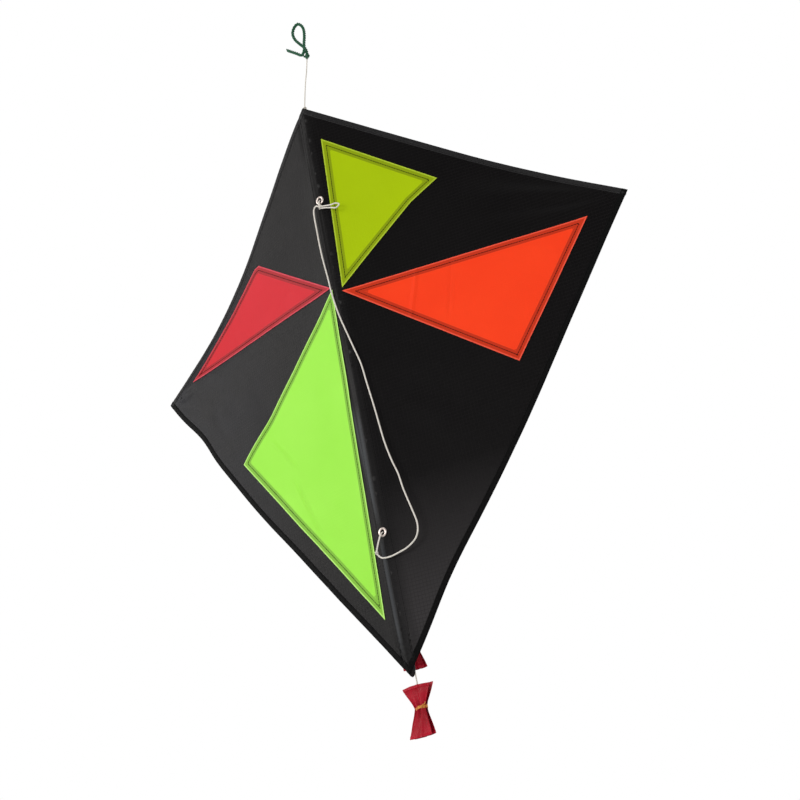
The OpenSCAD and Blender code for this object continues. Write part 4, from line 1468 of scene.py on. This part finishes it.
def buildRibbon(name, shape, centre, layer, body, node=None):
    columns, rows = 64, 84
    front, back, cloth, gaps = [], [], [], []
    for j in range(rows + 1):
        t = -1 + 2 * j / rows
        reach = bow["up"] if t > 0 else bow["down"]
        gap = (1 - abs(t)) * reach
        # a hem is doubled, with a ridge along its inner side
        ridge = 0.00045 * math.exp(-((gap - bow["hem"]) / 0.0005) ** 2)
        double = 0.00022 * (1 - softStep(bow["hem"], bow["hem"] + 0.0006, gap))
        for i in range(columns + 1):
            s = -1 + 2 * i / columns
            p = ribbonPoint(shape, centre, layer, s, t)
            px = ribbonPoint(shape, centre, layer, s + 0.01, t) - p
            if t < 0.99:
                pz = ribbonPoint(shape, centre, layer, s, t + 0.01) - p
            else:
                pz = p - ribbonPoint(shape, centre, layer, s, t - 0.01)
            normal = px.cross(pz).normalized()
            front.append(p + normal * (bow["cloth"] / 2 + ridge + double))
            back.append(p - normal * (bow["cloth"] / 2 + double))
            cloth.append((s * 0.019, t * reach))
            gaps.append(gap)
    count = len(front)
    faces = []
    width = columns + 1
    for j in range(rows):
        for i in range(columns):
            a = j * width + i
            faces.append((a, a + 1, a + 1 + width, a + width))
            faces.append((a + count + width, a + 1 + width + count, a + 1 + count, a + count))
    for i in range(columns):
        faces.append((i, i + count, i + 1 + count, i + 1))
        a = rows * width + i
        faces.append((a, a + 1, a + 1 + count, a + count))
    for j in range(rows):
        a, b = j * width, (j + 1) * width
        faces.append((a, b, b + count, a + count))
        a, b = a + columns, b + columns
        faces.append((a, a + count, b + count, b))
    made = piece(name, front + back, faces, "ribbon", cloth + cloth, {"edgeGap": gaps + gaps})
    outward(made)
    fasten(made, body, "ribbon", *([node] if node else []))
    area = sum(f.area for f in made.data.polygons) / 2
    return made, area


wound = {
    "rounds": 4, "points": 150, "start": 0.6, "wide": 0.0073, "deep": 0.0047, "height": 0.0030,
    "wobble": 0.0003,
    "end": [(0.0040, -0.0049, 0.0014), (0.0075, -0.0038, 0.0022), (0.0095, -0.0046, 0.0040)],
    "gap": 0.0005, "thread": 0.00055, "lay": 0.003, "knotAt": (0.0040, 0.0053, 0.0004),
    "knot": {"size": 0.0014, "thread": 0.0005, "turn": ((1, 0, 0.3), 1.2)},
}


def buildTie(name, centre, turn, body, node):
    line = []
    for i in range(wound["points"]):
        f = i / (wound["points"] - 1)
        a = f * wound["rounds"] * 2 * math.pi + wound["start"]
        z = (f - 0.5) * wound["height"] + wound["wobble"] * math.sin(3 * a)
        line.append(Vector((math.cos(a) * wound["wide"], math.sin(a) * wound["deep"], z)))
    line = smoothPath(line[::3] + [Vector(p) for p in wound["end"]], 3)
    c, d = math.cos(turn), math.sin(turn)
    placed = [centre + Vector((p.x * c - p.y * d, p.x * d + p.y * c, p.z)) for p in line]
    placed, _ = evenly(placed, wound["gap"])
    cord = twistedCord(2, wound["lay"])
    made = cordPiece(name, [cordMesh(placed, wound["thread"], cord, 10)], "tieCord")
    out, forward, up = wound["knotAt"]
    at = centre + Vector((out * c + forward * d, out * d - forward * c, up))
    knot = knotPiece(name + "Knot", dict(wound["knot"], at=at), cord, "tieCord")
    fasten(made, body, "tie_cord", node)
    fasten(knot, body, "tie_cord")
    return [made, knot]


# the front and back layers of each bow
ribbonLayers = [
    {"width": 1.06, "shift": -0.0012, "phase": 1.35, "depth": -0.0031, "curl": 0.0016, "drop": -0.0006,
     "turn": 0.0},
    {"width": 0.93, "shift": 0.0028, "phase": 2.1, "depth": 0.0024, "curl": -0.0012, "drop": 0.0002,
     "turn": 0.14},
]


def buildBows():
    for label, joined, node, tie in (("Upper", "tail_first", "tail_bow_upper", "tail_tie_upper"),
                                     ("Lower", "tail_last_bow", "tail_bow_lower", "tail_tie_lower")):
        shape = bow[label.lower()]
        centre = middleOf(tie)
        ties = buildTie("bowTie" + label, centre, shape["turn"], joined, tie)
        for n, layer in enumerate(ribbonLayers):
            made, area = buildRibbon(f"bow{label}Layer{n + 1}", shape, centre, layer, joined,
                                     node if n == 0 else None)


buildBows()


# carried CAD pieces

carried = {
    "spine_rod": "spineRod", "spar_left": "sparRod", "spar_right": "sparRod",
    "spine_cap_nose": "cap", "spine_cap_tail": "cap", "spar_cap_left": "cap", "spar_cap_right": "cap",
    "collar_upper": "fitting", "collar_lower": "fitting", "socket_spacer": "fitting",
    "spar_socket_left": "fitting", "spar_socket_right": "fitting",
    "eyelet_upper": "eyelet", "eyelet_lower": "eyelet", "tail_ring": "ring",
}
for node, finish in carried.items():
    mesh = frame["nodes"][node].data
    mesh.materials.clear()
    mesh.materials.append(finishes[finish])
print("CAD pieces given their finishes")


# floor, light and sky

studio = {"floor": -2.95, "floorGlow": 0.18, "span": 24.0, "key": 57.0, "fill": 23.0, "low": 42.0,
          "top": 12.0, "rear": 50.0, "sky": 0.36}


def areaLight(name, azimuth, elevation, distance, size, power, colour=(1, 1, 1)):
    data = bpy.data.lights.new(name, "AREA")
    data.shape = "RECTANGLE"
    data.size, data.size_y = size
    data.energy = power
    data.color = colour
    lamp = bpy.data.objects.new(name, data)
    scene.collection.objects.link(lamp)
    back = viewedFrom(azimuth, elevation)
    lamp.location = Vector((0, 0, -0.35)) + back * distance
    lamp.rotation_mode = "QUATERNION"
    lamp.rotation_quaternion = (-back).to_track_quat("-Z", "Y")


def buildStudio():
    span = studio["span"]
    verts = [(-span, -span, studio["floor"]), (span, -span, studio["floor"]),
             (span, span, studio["floor"]), (-span, span, studio["floor"])]
    s = Shader("paleFloor")
    cloud = s.noise(s.objectPlace(), 0.7, 3)
    shade = s.blendColour(cloud, (0.80, 0.80, 0.79), (0.86, 0.86, 0.85))
    finishes["floor"] = s.finish(s.principled(colour=shade, rough=0.85, glow=studio["floorGlow"],
                                              glowColour=(1.0, 1.0, 1.0)))
    floor = piece("studioFloor", verts, [(0, 1, 2, 3)], "floor", smooth=False)
    areaLight("keyWindow", -62, 20, 3.0, (1.5, 1.9), studio["key"], (1.0, 0.98, 0.96))
    areaLight("rightFill", 66, 4, 3.0, (1.6, 1.6), studio["fill"])
    areaLight("lowFront", 2, -1, 3.0, (1.5, 0.6), studio["low"])
    areaLight("topLight", 20, 72, 3.0, (1.6, 1.6), studio["top"])
    areaLight("rearWindow", 175, 10, 3.2, (2.6, 2.6), studio["rear"])
    world = bpy.data.worlds.new("studioSky")
    scene.world = world
    world.use_nodes = True
    tree = world.node_tree
    tree.nodes.clear()
    seen = tree.nodes.new("ShaderNodeLightPath")
    dim, plain = tree.nodes.new("ShaderNodeBackground"), tree.nodes.new("ShaderNodeBackground")
    dim.inputs["Color"].default_value = (1, 1, 1, 1)
    dim.inputs["Strength"].default_value = studio["sky"]
    plain.inputs["Color"].default_value = (1, 1, 1, 1)
    plain.inputs["Strength"].default_value = 1.0
    mix, end = tree.nodes.new("ShaderNodeMixShader"), tree.nodes.new("ShaderNodeOutputWorld")
    tree.links.new(seen.outputs["Is Camera Ray"], mix.inputs[0])
    tree.links.new(dim.outputs[0], mix.inputs[1])
    tree.links.new(plain.outputs[0], mix.inputs[2])
    tree.links.new(mix.outputs[0], end.inputs[0])


buildStudio()
print("studio made")
